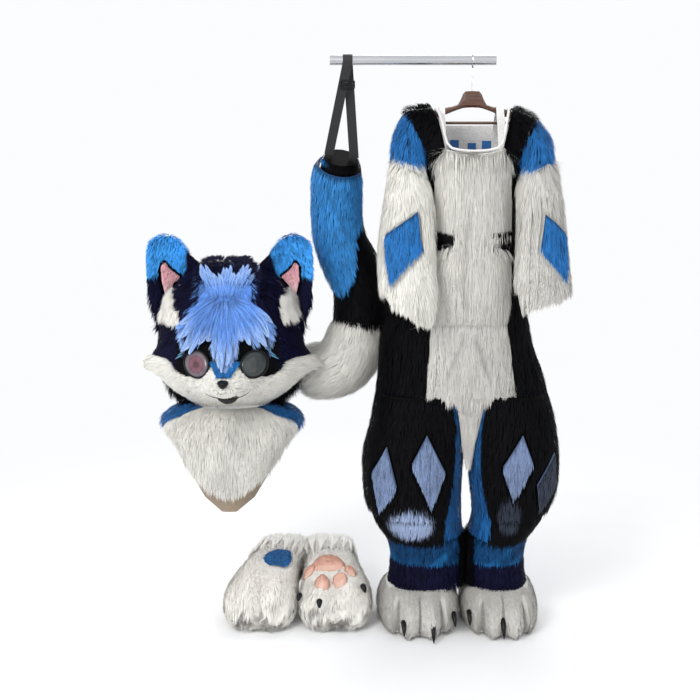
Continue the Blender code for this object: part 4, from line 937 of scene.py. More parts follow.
class COSTUME_OT_trunk(bpy.types.Operator):
    """Chest, belly, back, sides and shoulders of the body suit, with the dark tufts at the waist"""

    bl_idname = "costume.trunk"
    bl_label = "Trunk"

    def execute(self, context):
        pile = props()[0].body

        def in_mark(p):
            """Inside the left or the right mark of the waist, each a taper with its own middle."""
            left = np.maximum((p[:, 0] + 0.105) / 0.074, 0)
            right = np.maximum((0.0855 - p[:, 0]) / 0.080, 0)
            tall = np.where(right < 1, 0.0065 * (1 - right**2.0), -1)
            tall = np.where(left < 1, 0.019 * (1 - left**1.2), tall)
            middle = np.where(left < 1, -0.447 - 0.002 * left, -0.440 - 0.004 * right)
            ragged = 0.002 * ripple(p, 0.008, 33)[:, 0]
            return np.abs(p[:, 2] - middle) < tall + ragged

        def marked(p, way):
            """The marks, on the front alone."""
            return in_mark(p) & (way[:, 1] < -0.1)

        def unmarked(p, way):
            return ~marked(p, way)

        def painted_fold_shade(p, rng):
            """Painted shade in the folds down the middle and beside the belly and in soft streaks, over a
            grey that is partly the fur's own tone and partly painted shade, more of it lower down and towards
            the right.
            """
            middle = np.exp(-(((p[:, 0] + 0.006 + 0.02 * np.sin(p[:, 2] * 9)) / 0.007) ** 2))
            middle = middle * ease(-p[:, 2], 0.34, 0.42) * (1 - ease(-p[:, 2], 0.60, 0.66))
            aside = np.abs(p[:, 0] + 0.008) - (-p[:, 2] - 0.66) * 0.36
            belly = np.exp(-((aside / 0.007) ** 2)) * ease(-p[:, 2], 0.67, 0.72)
            belly = belly * (1 - ease(-p[:, 2], 0.80, 0.84))
            # Painted shade in soft streaks
            soft = 0.10 * ease(ripple(p * (1, 1, 0.25), 0.03, 41)[:, 0], -0.2, 1.0)
            # A grey over the whole chest, partly the fur's own tone and partly painted shade, with more
            # painted shade lower down and towards the right, away from the light
            grey_and_painted_shade = 0.22 + 0.12 * ease(-p[:, 2], 0.5, 0.72) + 0.22 * ease(p[:, 0], 0.02, 0.10)
            return np.clip(0.30 * middle + 0.30 * belly + soft + grey_and_painted_shade, 0, 1)

        # The white fur of the chest and belly takes painted shade as its second colour
        chest = {**SILK, "second": painted_fold_shade, "lock": (0.009, 0.009, 0.12)}
        cloth = node_cloth("chest_front", "trunk", 2)
        marks = {"cloth": cloth, "bare": marked, "clear": in_mark, "end": CHEST_END}
        dress("chest_front", "white_fur", "trunk", down, pile * 1.2, 200000, (0.24, 0.45), **marks, **chest)
        dress("belly_front", "white_fur", "trunk", down, pile, 190000, (0.24, 0.40), end="hem", **chest)

        def rim(p, way):
            """The top edge of the back, which shows bare cloth."""
            return (p[:, 2] > -0.20) | (way[:, 2] > 0.6)

        def yoke_pile(p):
            """Shorter towards the shoulder."""
            return pile * (0.60 + 0.5 * ease(-p[:, 2], 0.21, 0.27))

        def tuft_pile(p):
            """Longer on the left mark than on the right one."""
            return np.where(p[:, 0] < 0, 0.020, 0.014)

        back = {**LONG, "rim_lined": True, "bare": rim}
        dress("body_back", "blue_fur", "trunk", down, pile, 70000, (0.20, 0.70), **back)
        yoke = {**LONG, "lift": (48, 26), "lock": 0.012}
        for name, _ in SIDES:
            dress("side_" + name, "black_fur", "trunk", down, pile, 80000, (0.34, 0.58), **LONG)
            dress("yoke_" + name, "black_fur", "trunk", down, yoke_pile, 170000, (0.16, 0.20), **yoke)
        tufts = {**LONG, "lock": 0.006, "lift": (22, 8)}
        grow("waist_marks", cloth, "black_fur", down, tuft_pile, 1700000, bare=unmarked, **tufts)
        self.inside()
        return {"FINISHED"}

    def inside(self):
        """Three blue pieces of cloth that are sewn on the lining of the back."""
        back = Surface("body_back")
        parts = []
        for x0, x1, z0, z1 in LINING_PATCHES:
            x, z = np.meshgrid(np.linspace(x0, x1, 4), np.linspace(z0, z1, 5), indexing="ij")
            grid = np.array([back.ahead(u, v)[0] for u, v in zip(x.ravel(), z.ravel())]).reshape(4, 5, 3)
            parts.append(slab(grid - (0, 0.0022, 0), grid + (0, 0.0005, 0)))
        solid_mesh("lining_patches", *joined(parts), "blue_fur", finish_of("patch_cloth"), smooth=False)


class COSTUME_OT_tapes(bpy.types.Operator):
    """Binding of the neck and the tapes that hang from the hanger"""

    bl_idname = "costume.tapes"
    bl_label = "Tapes"

    def execute(self, context):
        tapes = (("neck_binding", 0.014, 0.62), ("strap_left", 0.016, 0.29), ("strap_right", 0.020, 0.29))
        for name, wide, long in tapes:
            fabric(name, "white_tape", (wide, long))
        return {"FINISHED"}


class COSTUME_OT_sleeves(bpy.types.Operator):
    """Blue caps, white sleeves and their blue patches"""

    bl_idname = "costume.sleeves"
    bl_label = "Sleeves"

    def execute(self, context):
        pile = props()[0].body

        def streaks(p, rng):
            """A little painted shade in streaks, and more painted shade towards the right, away from the
            light.
            """
            # Painted shade towards the right, away from the light
            grey_and_painted_shade = 0.36 * ease(p[:, 0], 0.0, 0.2)
            return grey_and_painted_shade + 0.12 * ease(ripple(p * (1, 1, 0.2), 0.03, 43)[:, 0], 0.0, 1.2)

        for name, level, slant, at in (("left", -0.2505, -0.206, -0.2126), ("right", -0.278, 0.05, 0.1035)):
            heart, patch = "sleeve_" + name, "sleeve_patch_" + name

            def white_end(p, rng):
                """White fur takes over where the blue piece is cut."""
                edge = level + slant * (p[:, 0] - at)
                return ease(edge - p[:, 2] + rng.normal(0, 0.002, len(p)), -0.004, 0.006) * 0.96

            cap = {**LONG, "lift": (17, 6), "second": white_end, "finish": "cap_fur", "end": "hem"}
            dress("sleeve_cap_" + name, "blue_fur", heart, down, pile * 0.9, 120000, (0.24, 0.19), **cap)
            # The white sleeves take painted shade as their second colour
            sleeve = {**SILK, "second": streaks, "lock": (0.009, 0.009, 0.10)}
            sleeve.update(under=(patch,), end="hem")
            dress(heart, "white_fur", heart, down, pile, 150000, (0.40, 0.42), **sleeve)
            dress(patch, "blue_fur", heart, down, pile * 0.55, 300000, (0.10, 0.18), **PATCH)
        return {"FINISHED"}


class COSTUME_OT_legs(bpy.types.Operator):
    """Thighs, backs, shins, calves and ankles, with the patches on the knees"""

    bl_idname = "costume.legs"
    bl_label = "Legs"

    def execute(self, context):
        pile = props()[0].leg

        def around_moon(p, rng):
            """Outside the pale round on the left shin, with a ragged edge."""
            moon = ((p[:, 0] + 0.156) / 0.066) ** 2 + ((p[:, 2] + 1.214) / 0.046) ** 2
            return ease(moon + rng.normal(0, 0.14, len(p)), 0.45, 1.10)

        def around_grey(p, rng):
            """Outside the faint round on the right shin."""
            grey = ((p[:, 0] - 0.106) / 0.032) ** 2 + ((p[:, 2] + 1.190) / 0.050) ** 2
            return 0.90 + 0.10 * ease(grey + rng.normal(0, 0.1, len(p)), 0.7, 1.2)

        def mottled(p, rng):
            """Blue comes through lower down, in patches."""
            return ease(ripple(p, 0.02, 21)[:, 0] - (p[:, 2] + 1.300) * 14, 0.0, 0.8)

        def off_gap(p, way):
            """Everywhere but where the two legs face each other."""
            return (np.abs(p[:, 0]) > 0.024) | (np.abs(way[:, 0]) < 0.45)

        bridge = {**LONG, "lift": (62, 34), "lock": 0.010, "sink": 0.0, "bare": off_gap}
        for name, _ in SIDES:
            heart = "leg_" + name
            patches = ("knee_patch_%s_outer" % name, "knee_patch_%s_inner" % name)
            outside = around_moon if name == "left" else around_grey

            def in_moon(p, rng):
                """The round, on the front alone."""
                return np.where(p[:, 1] < 0, 1 - outside(p, rng), 0)

            soft = {**LONG, "lift": (20, 8), "lock": (0.009, 0.009, 0.03)}
            moon = {**soft, "second": in_moon, "finish": "moon_fur"}
            for piece, slot, share, density, cut, look in (
                ("thigh_", "black_fur", 1, 90000, (0.40, 0.36), {**moon, "end": THIGH_END, "under": patches}),
                ("leg_back_", "blue_fur", 1, 80000, (0.44, 0.42), {**LONG, "end": LEG_BACK_END}),
                ("shin_", "grey_blue_fur", 0.9, 240000, (0.26, 0.07), moon),
                ("calf_", "teal_fur", 0.7, 140000, (0.62, 0.08), {**soft, "second": mottled}),
                ("ankle_", "navy_fur", 0.66, 140000, (0.56, 0.08), soft),
            ):
                dress(piece + name, slot, heart, down, pile * share, density, cut, **look)
            for piece in ("calf_", "ankle_"):
                fine = node_cloth(piece + name, heart, 2)
                grow(piece + "between_" + name, fine, "black_fur", down, 0.018, 260000, **bridge)
        knees = (("left_outer", 0.2), ("left_inner", 0.2), ("right_inner", 0.3), ("right_outer", 0.88))
        for name, dark in knees:
            patch, heart = "knee_patch_" + name, "leg_" + name.split("_")[0]
            knee = {**PATCH, "second": evenly(dark)}
            dress(patch, "grey_blue_fur", heart, down, pile * 0.6, 320000, (0.09, 0.20), **knee)
        return {"FINISHED"}


class COSTUME_OT_feet(bpy.types.Operator):
    """Feet with four toes and their claws"""

    bl_idname = "costume.feet"
    bl_label = "Feet"

    def execute(self, context):
        pile = props()[0].foot

        def sole(p, way):
            """Under the foot."""
            return way[:, 2] < -0.8

        for name, side, middle, half in (("left", -1, -0.1305, 0.114), ("right", 1, 0.093, 0.108)):

            def painted_toe_shade(p, rng):
                """Painted shade: dark between the toes and towards the outer side and the floor, and a little
                over the whole foot.
                """
                lobe = np.abs(np.sin(math.tau * np.clip((p[:, 0] - middle) / half, -1, 1)))
                between_toes = 0.85 * (1 - ease(lobe, 0.05, 0.38)) * ease(-p[:, 1], 0.09, 0.14)
                shadow = 0.28 * ease(side * (p[:, 0] - middle) / half, 0.45, 1.0)
                return np.maximum(between_toes, 0.27 + shadow + 0.14 * ease(-p[:, 2], 1.46, 1.51))

            foot = "foot_" + name
            # The white fur of the feet takes painted shade as its second colour
            look = {**SHORT, "second": painted_toe_shade, "bare": sole, "stuffed": 0.9, "floor": True}
            dress(foot, "white_fur", foot, toeward, pile, 140000, **look)
        pairs = [
            ((-0.176, -0.188, -1.462), (-0.175, -0.222, -1.490)),
            ((-0.098, -0.186, -1.468), (-0.0965, -0.222, -1.510)),
            ((-0.0400, -0.142, -1.456), (-0.0365, -0.174, -1.484)),
            ((0.0035, -0.130, -1.456), (0.003, -0.164, -1.484)),
            ((0.0900, -0.164, -1.464), (0.091, -0.200, -1.508)),
        ]
        claws("foot_claws", pairs, 0.0082)
        return {"FINISHED"}


class COSTUME_OT_tail(bpy.types.Operator):
    """Stuffed tail with its blue panel, white tip and belt"""

    bl_idname = "costume.tail"
    bl_label = "Tail"

    def execute(self, context):
        pile = props()[0].body
        look = {**LONG, "lock": 0.014}

        def top(p, rng):
            """The blue fur's edge at the top of the tail."""
            return 1 - ease(rng.normal(0, 0.002, len(p)) - p[:, 2], 0.262, 0.275)

        body = {**look, "second": top, "under": ("tail_blue",)}
        dress("tail_black", "black_fur", "tail", tailward, pile * 0.8, 80000, stuffed=0.8, **body)
        panel = {**look, "second": evenly(0.75), "lift": (20, 7), "sink": 0.001}
        dress("tail_blue", "blue_fur", "tail", tailward, pile * 0.8, 150000, (0.14, 0.42), **panel)
        tip = {**SILK, "lift": (18, 5), "lock": 0.014}
        dress("tail_tip", "white_fur", "tail", tailward, pile, 120000, stuffed=0.8, **tip)
        fabric("tail_belt", "black_cloth", (0.025, 0.62))
        self.slider()
        return {"FINISHED"}

    def slider(self):
        """A plastic slider on the belt."""
        place, _ = Surface("tail_belt").ahead(-0.3245, -0.062)
        wide, tall, bar, sides, square = 0.0175, 0.0105, 0.0022, 40, 0.35
        turn = turns(sides)
        x, z = wide * squared(np.cos(turn), square), tall * squared(np.sin(turn), square)
        rings = []
        for a in turns(8):
            grown = 1 + bar * math.cos(a) / tall
            ring = [x * (1 + bar * math.cos(a) / wide), 0 * x + bar * 0.8 * math.sin(a), z * grown]
            rings.append(np.stack(ring, axis=1))
        ahead = np.array((0, 0.0025, 0))
        points = (np.array(rings) + place - ahead).reshape(-1, 3)
        count = len(points)
        faces = [(a, b, (b + sides) % count, (a + sides) % count) for a, b in around(8, sides)]
        bar_path = [place + (dx, 0, 0) - ahead for dx in np.linspace(-wide, wide, 5)]
        slider = joined([(points, faces), tube(bar_path, [bar] * 5)])
        solid_mesh("belt_slider", *slider, "nose", finish_of("claw"))


class COSTUME_OT_head(bpy.types.Operator):
    """Head shell, mask round the eyes and the white face"""

    bl_idname = "costume.head"
    bl_label = "Head"

    def execute(self, context):
        pile = props()[0].face

        def cheek(p):
            """Short on the muzzle and long out on the cheeks."""
            far = np.abs(p[:, 0] - HEAD_X)
            return pile + 0.026 * np.clip((far - 0.07) / 0.10, 0, 1) + 0.024 * ease(far, 0.17, 0.22)

        def beside_eyes(p, rng):
            """Dark blue takes over beyond the outer corners of the eyes."""
            return ease(np.abs(p[:, 0] - HEAD_X) + rng.normal(0, 0.003, len(p)), 0.128, 0.142)

        def at_mouth(p, way):
            """Where the felt of the mouth lies."""
            across = (p[:, 0] - HEAD_X - 0.006) / 0.032
            return (np.abs(across) < 1) & (np.abs(p[:, 2] + 0.862 - 0.004 * across**2) < 0.0125)

        shell = {**LONG, "lift": (30, 12), "lock": 0.010, "under": ("hair",), "behind": 0.7}
        mask = {**SHORT, "lift": (20, 6), "second": beside_eyes, "finish": "mask_fur"}
        white = {**SHORT, "lift": (22, 8), "lock": 0.014, "under": ("mouth",), "bare": at_mouth}
        bridge = {**SHORT, "sink": 0.001}
        for name, slot, brush, long, density, cut, rests, look in (
            ("head_shell", "navy_fur", backward, 0.022, 110000, (0.80, 0.42), "eye_mask", shell),
            ("eye_mask", "black_fur", from_nose, 0.008, 200000, (0.46, 0.14), "face", mask),
            ("face", "white_fur", from_nose, cheek, 190000, (0.62, 0.18), "head_shell", white),
            ("muzzle_bridge", "blue_fur", from_nose, 0.006, 400000, (0.09, 0.05), "face", bridge),
        ):
            dress(name, slot, "head", brush, long, density, cut, "stretched", (rests,), **look)
        nape = {**LONG, "lift": (62, 30), "lock": 0.012, "sink": 0.0, "behind": 1.0, "bare": self.off_nape}
        grow("nape", node_cloth("head_shell", "head"), "black_fur", backward, 0.046, 260000, **nape)
        self.eyes()
        self.nose_and_mouth()
        return {"FINISHED"}

    @staticmethod
    def off_nape(p, way):
        """Everywhere but low on the sides of the head, behind the cheeks."""
        return (p[:, 2] > -0.838) | (way[:, 1] < -0.15) | (way[:, 1] > 0.6)

    def eyes(self):
        """Round lenses with a plain printed iris, each in a black ring with a lash at its outer corner."""
        prints = {
            "left": ((0.155, 0.062, 0.085), (0.13, 0.11, 0.125)),
            "right": ((0.016, 0.024, 0.025), (0.026, 0.034, 0.035)),
        }
        face = Surface("eye_mask", "face", "head_shell")
        for name, side in SIDES:
            node_name = "eye_" + name
            low, high = (np.array(corner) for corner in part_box(node_name))
            centre = (low + high) / 2
            # The back of the lens keeps to the slope of the solid in its place
            points, _ = node_mesh(node_name)
            slope = np.polyfit(points[:, 0], points[:, 1], 1)
            tilt = np.polyfit(points[:, 2], points[:, 1] - np.polyval(slope, points[:, 0]), 1)

            def rest(x, z):
                """The slope on which the eye sits."""
                return np.polyval(slope, x) + np.polyval(tilt, z) - 0.001

            def circle(turn):
                return LENS * np.cos(turn), LENS * np.sin(turn)

            points, faces, share, angles = dome((centre[0], centre[2]), circle, 0.008, rest)
            printed = lens_material("lens_" + name, *prints[name])
            lens = solid_mesh("lens_" + name, points, faces, "lens", printed)
            full = np.ones(len(share))
            tinted(lens, np.stack([share, angles, full, full], axis=1))
            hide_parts(node_name)
            rim = np.linspace(0, math.tau, 49)
            x, z = centre[0] + LENS_RIM * np.cos(rim), centre[2] + LENS_RIM * np.sin(rim)
            path = np.stack([x, rest(x, z) - 0.0005, z], axis=1)
            solid_mesh("lens_rim_" + name, *tube(path, [RIM_HALF] * len(rim), 8), "nose", finish_of("claw"))
            parts = []
            # Each hair of the lash: its angles at root and tip in degrees, and how far it sweeps out
            for a, b, lean in ((52, 28, 0.002), (34, 12, 0.010), (20, 2, 0.016)):
                t = np.linspace(0, 1, 9)
                angle = np.radians(a + (b - a) * t)
                reach = 0.0450 + lean * t**1.5
                x, z = centre[0] + side * reach * np.cos(angle), centre[2] + 0.002 + reach * np.sin(angle)
                path = [face.ahead(u, v)[0] - (0, 0.005, 0) for u, v in zip(x, z)]
                parts.append(tube(path, 0.0017 * np.sqrt(np.clip(1.0 - t**2, 0.01, 1)), 6))
            solid_mesh("lash_" + name, *joined(parts), "blue_fur", finish_of("lash_cloth"))

    def nose_and_mouth(self):
        """The nose, the felt of the mouth below it and the seam of the smile."""
        low, high = (np.array(corner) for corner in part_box("nose"))
        seat = high[1] - 0.008

        def rest(x, z):
            """The upright plane on which the nose sits."""
            return seat + 0 * x

        def triangle(turn):
            """A round shape with three soft corners, one of them below."""
            wave = 1 + 0.10 * np.cos(3 * (turn + math.pi / 2))
            return 0.0142 * np.cos(turn) * wave, 0.0112 * np.sin(turn) * wave

        points, faces, _, _ = dome((HEAD_X, (low[2] + high[2]) / 2), triangle, 0.019, rest, 9)
        nose = solid_mesh("nose_tip", points, faces, "nose", finish_of("nose"))
        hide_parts("nose")
        nose.modifiers.new("round", "SUBSURF").levels = 1
        face = Surface("face")
        # The felt hangs from an upper edge that rises to both sides, and is deepest in the middle
        share = np.linspace(-1, 1, 25)
        x = HEAD_X + 0.006 + 0.027 * share
        top = -0.8610 + 0.0045 * share**2
        deep = 0.0125 * (1 - share**2) ** 0.8 + 0.0008
        steps = [zip(x, top - deep * k / 4) for k in range(5)]
        felt = np.array([[face.ahead(u, v)[0] for u, v in step] for step in steps])
        front = felt.copy()
        front[:, :, 1] = felt[:1, :, 1] - 0.0034
        points, faces = slab(front, felt + (0, 0.001, 0))
        mouth = solid_mesh("mouth_felt", points, faces, "nose", finish_of("black_cloth"))
        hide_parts("mouth")
        parts = []
        t = np.linspace(0, 1, 12)
        for side, end in ((-1, x[0]), (1, x[-1])):
            xs, zs = end + side * 0.030 * t, -0.8570 + 0.016 * t**1.5
            path = [face.ahead(u, v)[0] - (0, 0.0030, 0) for u, v in zip(xs, zs)]
            parts.append(tube(path, 0.0013 * (1 - 0.7 * t), 6))
        solid_mesh("smile_seam", *joined(parts), "nose", finish_of("black_cloth"))


class COSTUME_OT_ears(bpy.types.Operator):
    """Ears with blue tips, pink insides and white fluff"""

    bl_idname = "costume.ears"
    bl_label = "Ears"

    def execute(self, context):
        def tips(p, rng):
            """Blue above a ragged edge on the outer side of each ear."""
            height = p[:, 2] + rng.normal(0, 0.004, len(p)) + 0.004 * ripple(p, 0.012, 61)[:, 0]
            aside = np.abs(p[:, 0] - HEAD_X) + 0.004 * ripple(p, 0.015, 62)[:, 0]
            return ease(height, -0.573, -0.563) * ease(aside + 0.25 * (p[:, 2] + 0.51), 0.108, 0.118) * 0.95

        def ear_pile(p):
            """Longer at the outer foot of each ear."""
            return 0.019 + 0.026 * ease(-p[:, 2], 0.575, 0.625) * ease(np.abs(p[:, 0] - HEAD_X), 0.160, 0.185)

        def pale_foot(p, rng):
            """Paler towards the foot of the leaf."""
            return 0.25 * ease(-p[:, 2], 0.57, 0.60)

        leaf = {"width": 0.0012, "second": pale_foot, "silk": 0.8, "stuffed": 0.5, "sink": 0.0}
        ear = {"width": 0.0015, "lift": (36, 14), "clump": 0.3, "lock": 0.009, "behind": 0.8}
        ear.update(stuffed=0.9, second=tips)
        fluff = {"width": 0.0013, "lift": (40, 12), "clump": 0.25, "lock": 0.009, "sink": 0.0, "silk": 0.85}
        for name, side in SIDES:
            outer, inner = "ear_" + name, "ear_inner_" + name
            dress(outer, "navy_fur", None, earward, ear_pile, 250000, under=(inner,), **ear)
            dress(inner, "pink_fur", None, earward, 0.007, 450000, **leaf)

            def off_tuft(p, way):
                """Everywhere but a wedge at the front of each ear's foot."""
                down_it = (-p[:, 2] - 0.594) / 0.066
                half = 0.009 + 0.016 * ease(down_it, 0.0, 0.6)
                x = (p[:, 0] - HEAD_X - side * 0.154) / half
                ragged = 0.35 * ripple(p, 0.006, 71)[:, 0]
                down_it = down_it + 0.1 * ragged
                return (np.abs(x) + ragged > 1) | (down_it < 0) | (down_it > 1) | (way[:, 1] > -0.05)

            def tuft_fall(p, way):
                """Down and outwards from the middle of the tuft."""
                return fanned((p[:, 0] - HEAD_X - side * 0.142) * 7) + 0.25 * ripple(p, 0.02, 14)

            cloth = joined_cloth(outer, "head_shell")
            # The fluff takes the lighter copy of the white fur, which is painted light
            fluff.update(finish="painted_lit_white_fur", bare=off_tuft)
            grow("ear_fluff_" + name, cloth, "white_fur", tuft_fall, 0.034, 1100000, **fluff)
        return {"FINISHED"}


# Locks over the forehead: root, middle and tip by x and z and half the width, all in mm, and how many hairs
HAIR = (
    (-660, -604, -712, -640, -752, -672, 10, 420),
    (-664, -606, -710, -654, -752, -706, 11, 480),
    (-658, -610, -704, -668, -750, -742, 12, 600),
    (-660, -612, -694, -672, -730, -748, 10, 500),
    (-654, -612, -682, -672, -706, -722, 10, 480),
    (-650, -612, -668, -672, -684, -712, 10, 460),
    (-646, -610, -658, -682, -668, -758, 8, 480),
    (-642, -608, -648, -690, -652, -780, 9, 560),
    (-640, -608, -640, -690, -644, -788, 9, 600),
    (-636, -608, -630, -690, -634, -776, 9, 560),
    (-632, -610, -620, -682, -618, -752, 9, 480),
    (-630, -612, -606, -668, -600, -712, 10, 460),
    (-626, -612, -594, -668, -580, -722, 10, 480),
    (-622, -612, -582, -660, -556, -716, 10, 500),
    (-618, -610, -574, -652, -540, -730, 11, 560),
    (-616, -606, -566, -640, -532, -700, 11, 500),
    (-618, -604, -566, -630, -528, -668, 10, 420),
)
# Tufts that stand up on the crown: how far each leans to the side, and how tall it is for its kind
CROWN = (
    *((-0.060, 1.0), (-0.046, 1.05), (-0.034, 0.8), (-0.014, 0.9), (0.0, 1.0)),
    *((0.014, 0.85), (0.034, 0.85), (0.046, 1.05), (0.062, 1.0)),
)


class COSTUME_OT_hair(bpy.types.Operator):
    """Locks of hair over the forehead"""

    bl_idname = "costume.hair"
    bl_label = "Hair"

    def execute(self, context):
        def fall(p, way):
            """Down and outwards from the parting."""
            return fanned((p[:, 0] - HEAD_X) * 9) + 0.25 * ripple(p, 0.03, 12)

        def pale(p, rng):
            """Paler towards the ends over the forehead."""
            return ease(-p[:, 2], 0.63, 0.75) * 0.8 * rng.random(len(p)) ** 0.5

        def corner(p):
            """Beside the crown, where the hair leaves the dark fur free."""
            low = np.maximum(-0.601 - p[:, 2], 0)
            return (np.abs(p[:, 0] - HEAD_X) > 0.060 + 0.9 * low) & (low < 0.055)

        def top(p, way):
            return (p[:, 2] > -0.556) | (way[:, 1] > 0.2) | corner(p)

        def under_top(p, way):
            return (p[:, 2] < -0.560) & ~corner(p)

        look = {**LONG, "lock": 0.012, "clump": 0.45, "second": pale, "lift": (24, 10), "bare": top}
        look.update(held="stretched", rests=("head_shell",))
        dress("hair", "hair_fur", "head", fall, 0.036, 240000, (0.30, 0.30), **look)
        rim = {**LONG, "lift": (44, 18), "lock": 0.009, "sink": 0.0, "bare": under_top}
        grow("crown_rim", node_cloth("hair", "head"), "navy_fur", backward, 0.020, 400000, **rim)
        surface = Surface("hair", "head_shell", "eye_mask", "muzzle_bridge", "face")
        falls = []
        for guide in HAIR:
            x0, z0, x1, z1, x2, z2, half = (value / 1000 for value in guide[:7])
            falls.append(([(x0, z0), (x1, z1), (x2, z2)], half, 0.014, guide[7]))
        comb("hair_locks", "hair_fur", surface, falls, 0.050, 51, width=0.0015, pale=(0.45, 1.05), rise=0.004)
        # Three tufts for each row of the table, each a little off its place
        tufts = []
        rng = np.random.default_rng(77)
        for lean, tall in CROWN:
            for _ in range(3):
                root = lean * 0.45 + rng.normal(0, 0.004)
                tip = lean + rng.normal(0, 0.006)
                low, high = -0.604 + rng.normal(0, 0.003), -0.598 + 0.056 * tall + rng.normal(0, 0.004)
                middle = HEAD_X + (root + tip) / 2 - lean * 0.06
                path = [(HEAD_X + root, low), (middle, (low + high) / 2), (HEAD_X + tip, high)]
                tufts.append((path, 0.008, 0.010, 190))
        comb("hair_crown", "hair_fur", surface, tufts, 0.030, 53, width=0.0012, pale=(0.2, 1.4), rise=0.008)
        return {"FINISHED"}


class COSTUME_OT_bib(bpy.types.Operator):
    """White bib with its smooth beige edge, and the blue collar"""

    bl_idname = "costume.bib"
    bl_label = "Bib"

    def execute(self, context):
        def painted_streak_shade(p, rng):
            """A little painted shade over all of it, more in broad streaks."""
            return 0.10 + 0.16 * ease(ripple(p * (1, 1, 0.3), 0.03, 45)[:, 0], -0.2, 1.0)

        # The white bib takes painted shade as its second colour
        bib = {**SILK, "lift": (16, 4), "lock": (0.010, 0.010, 0.05), "second": painted_streak_shade}
        dress("bib", "white_fur", "cape", down, 0.036, 190000, (0.40, 0.24), rests=("face",), **bib)
        dress("collar", "blue_fur", "cape", down, 0.030, 90000, (0.56, 0.14), rests=("head_shell",), **LONG)
        fabric("bib_hem", "beige_cloth", (0.30, 0.16))
        return {"FINISHED"}


# Pads of the right paw: middle, half its width and depth, height, lean
PADS = (
    (-0.380, 0.054, 0.046, 0.038, 0.009, 0.0),
    (-0.433, 0.034, 0.0155, 0.019, 0.010, 0.2),
    (-0.317, 0.014, 0.0150, 0.020, 0.010, -0.2),
    (-0.394, -0.044, 0.0200, 0.024, 0.012, 0.0),
    (-0.346, -0.028, 0.0195, 0.020, 0.012, 0.0),
)


def on_pads(p):
    """Whether each point lies over a pad or just beside it."""
    found = np.zeros(len(p), bool)
    for x0, y0, wide, deep, _, lean in PADS:
        y = p[:, 1] - y0
        found |= ((p[:, 0] - x0 - lean * y) / wide) ** 2 + (y / deep) ** 2 < 1.05
    return found


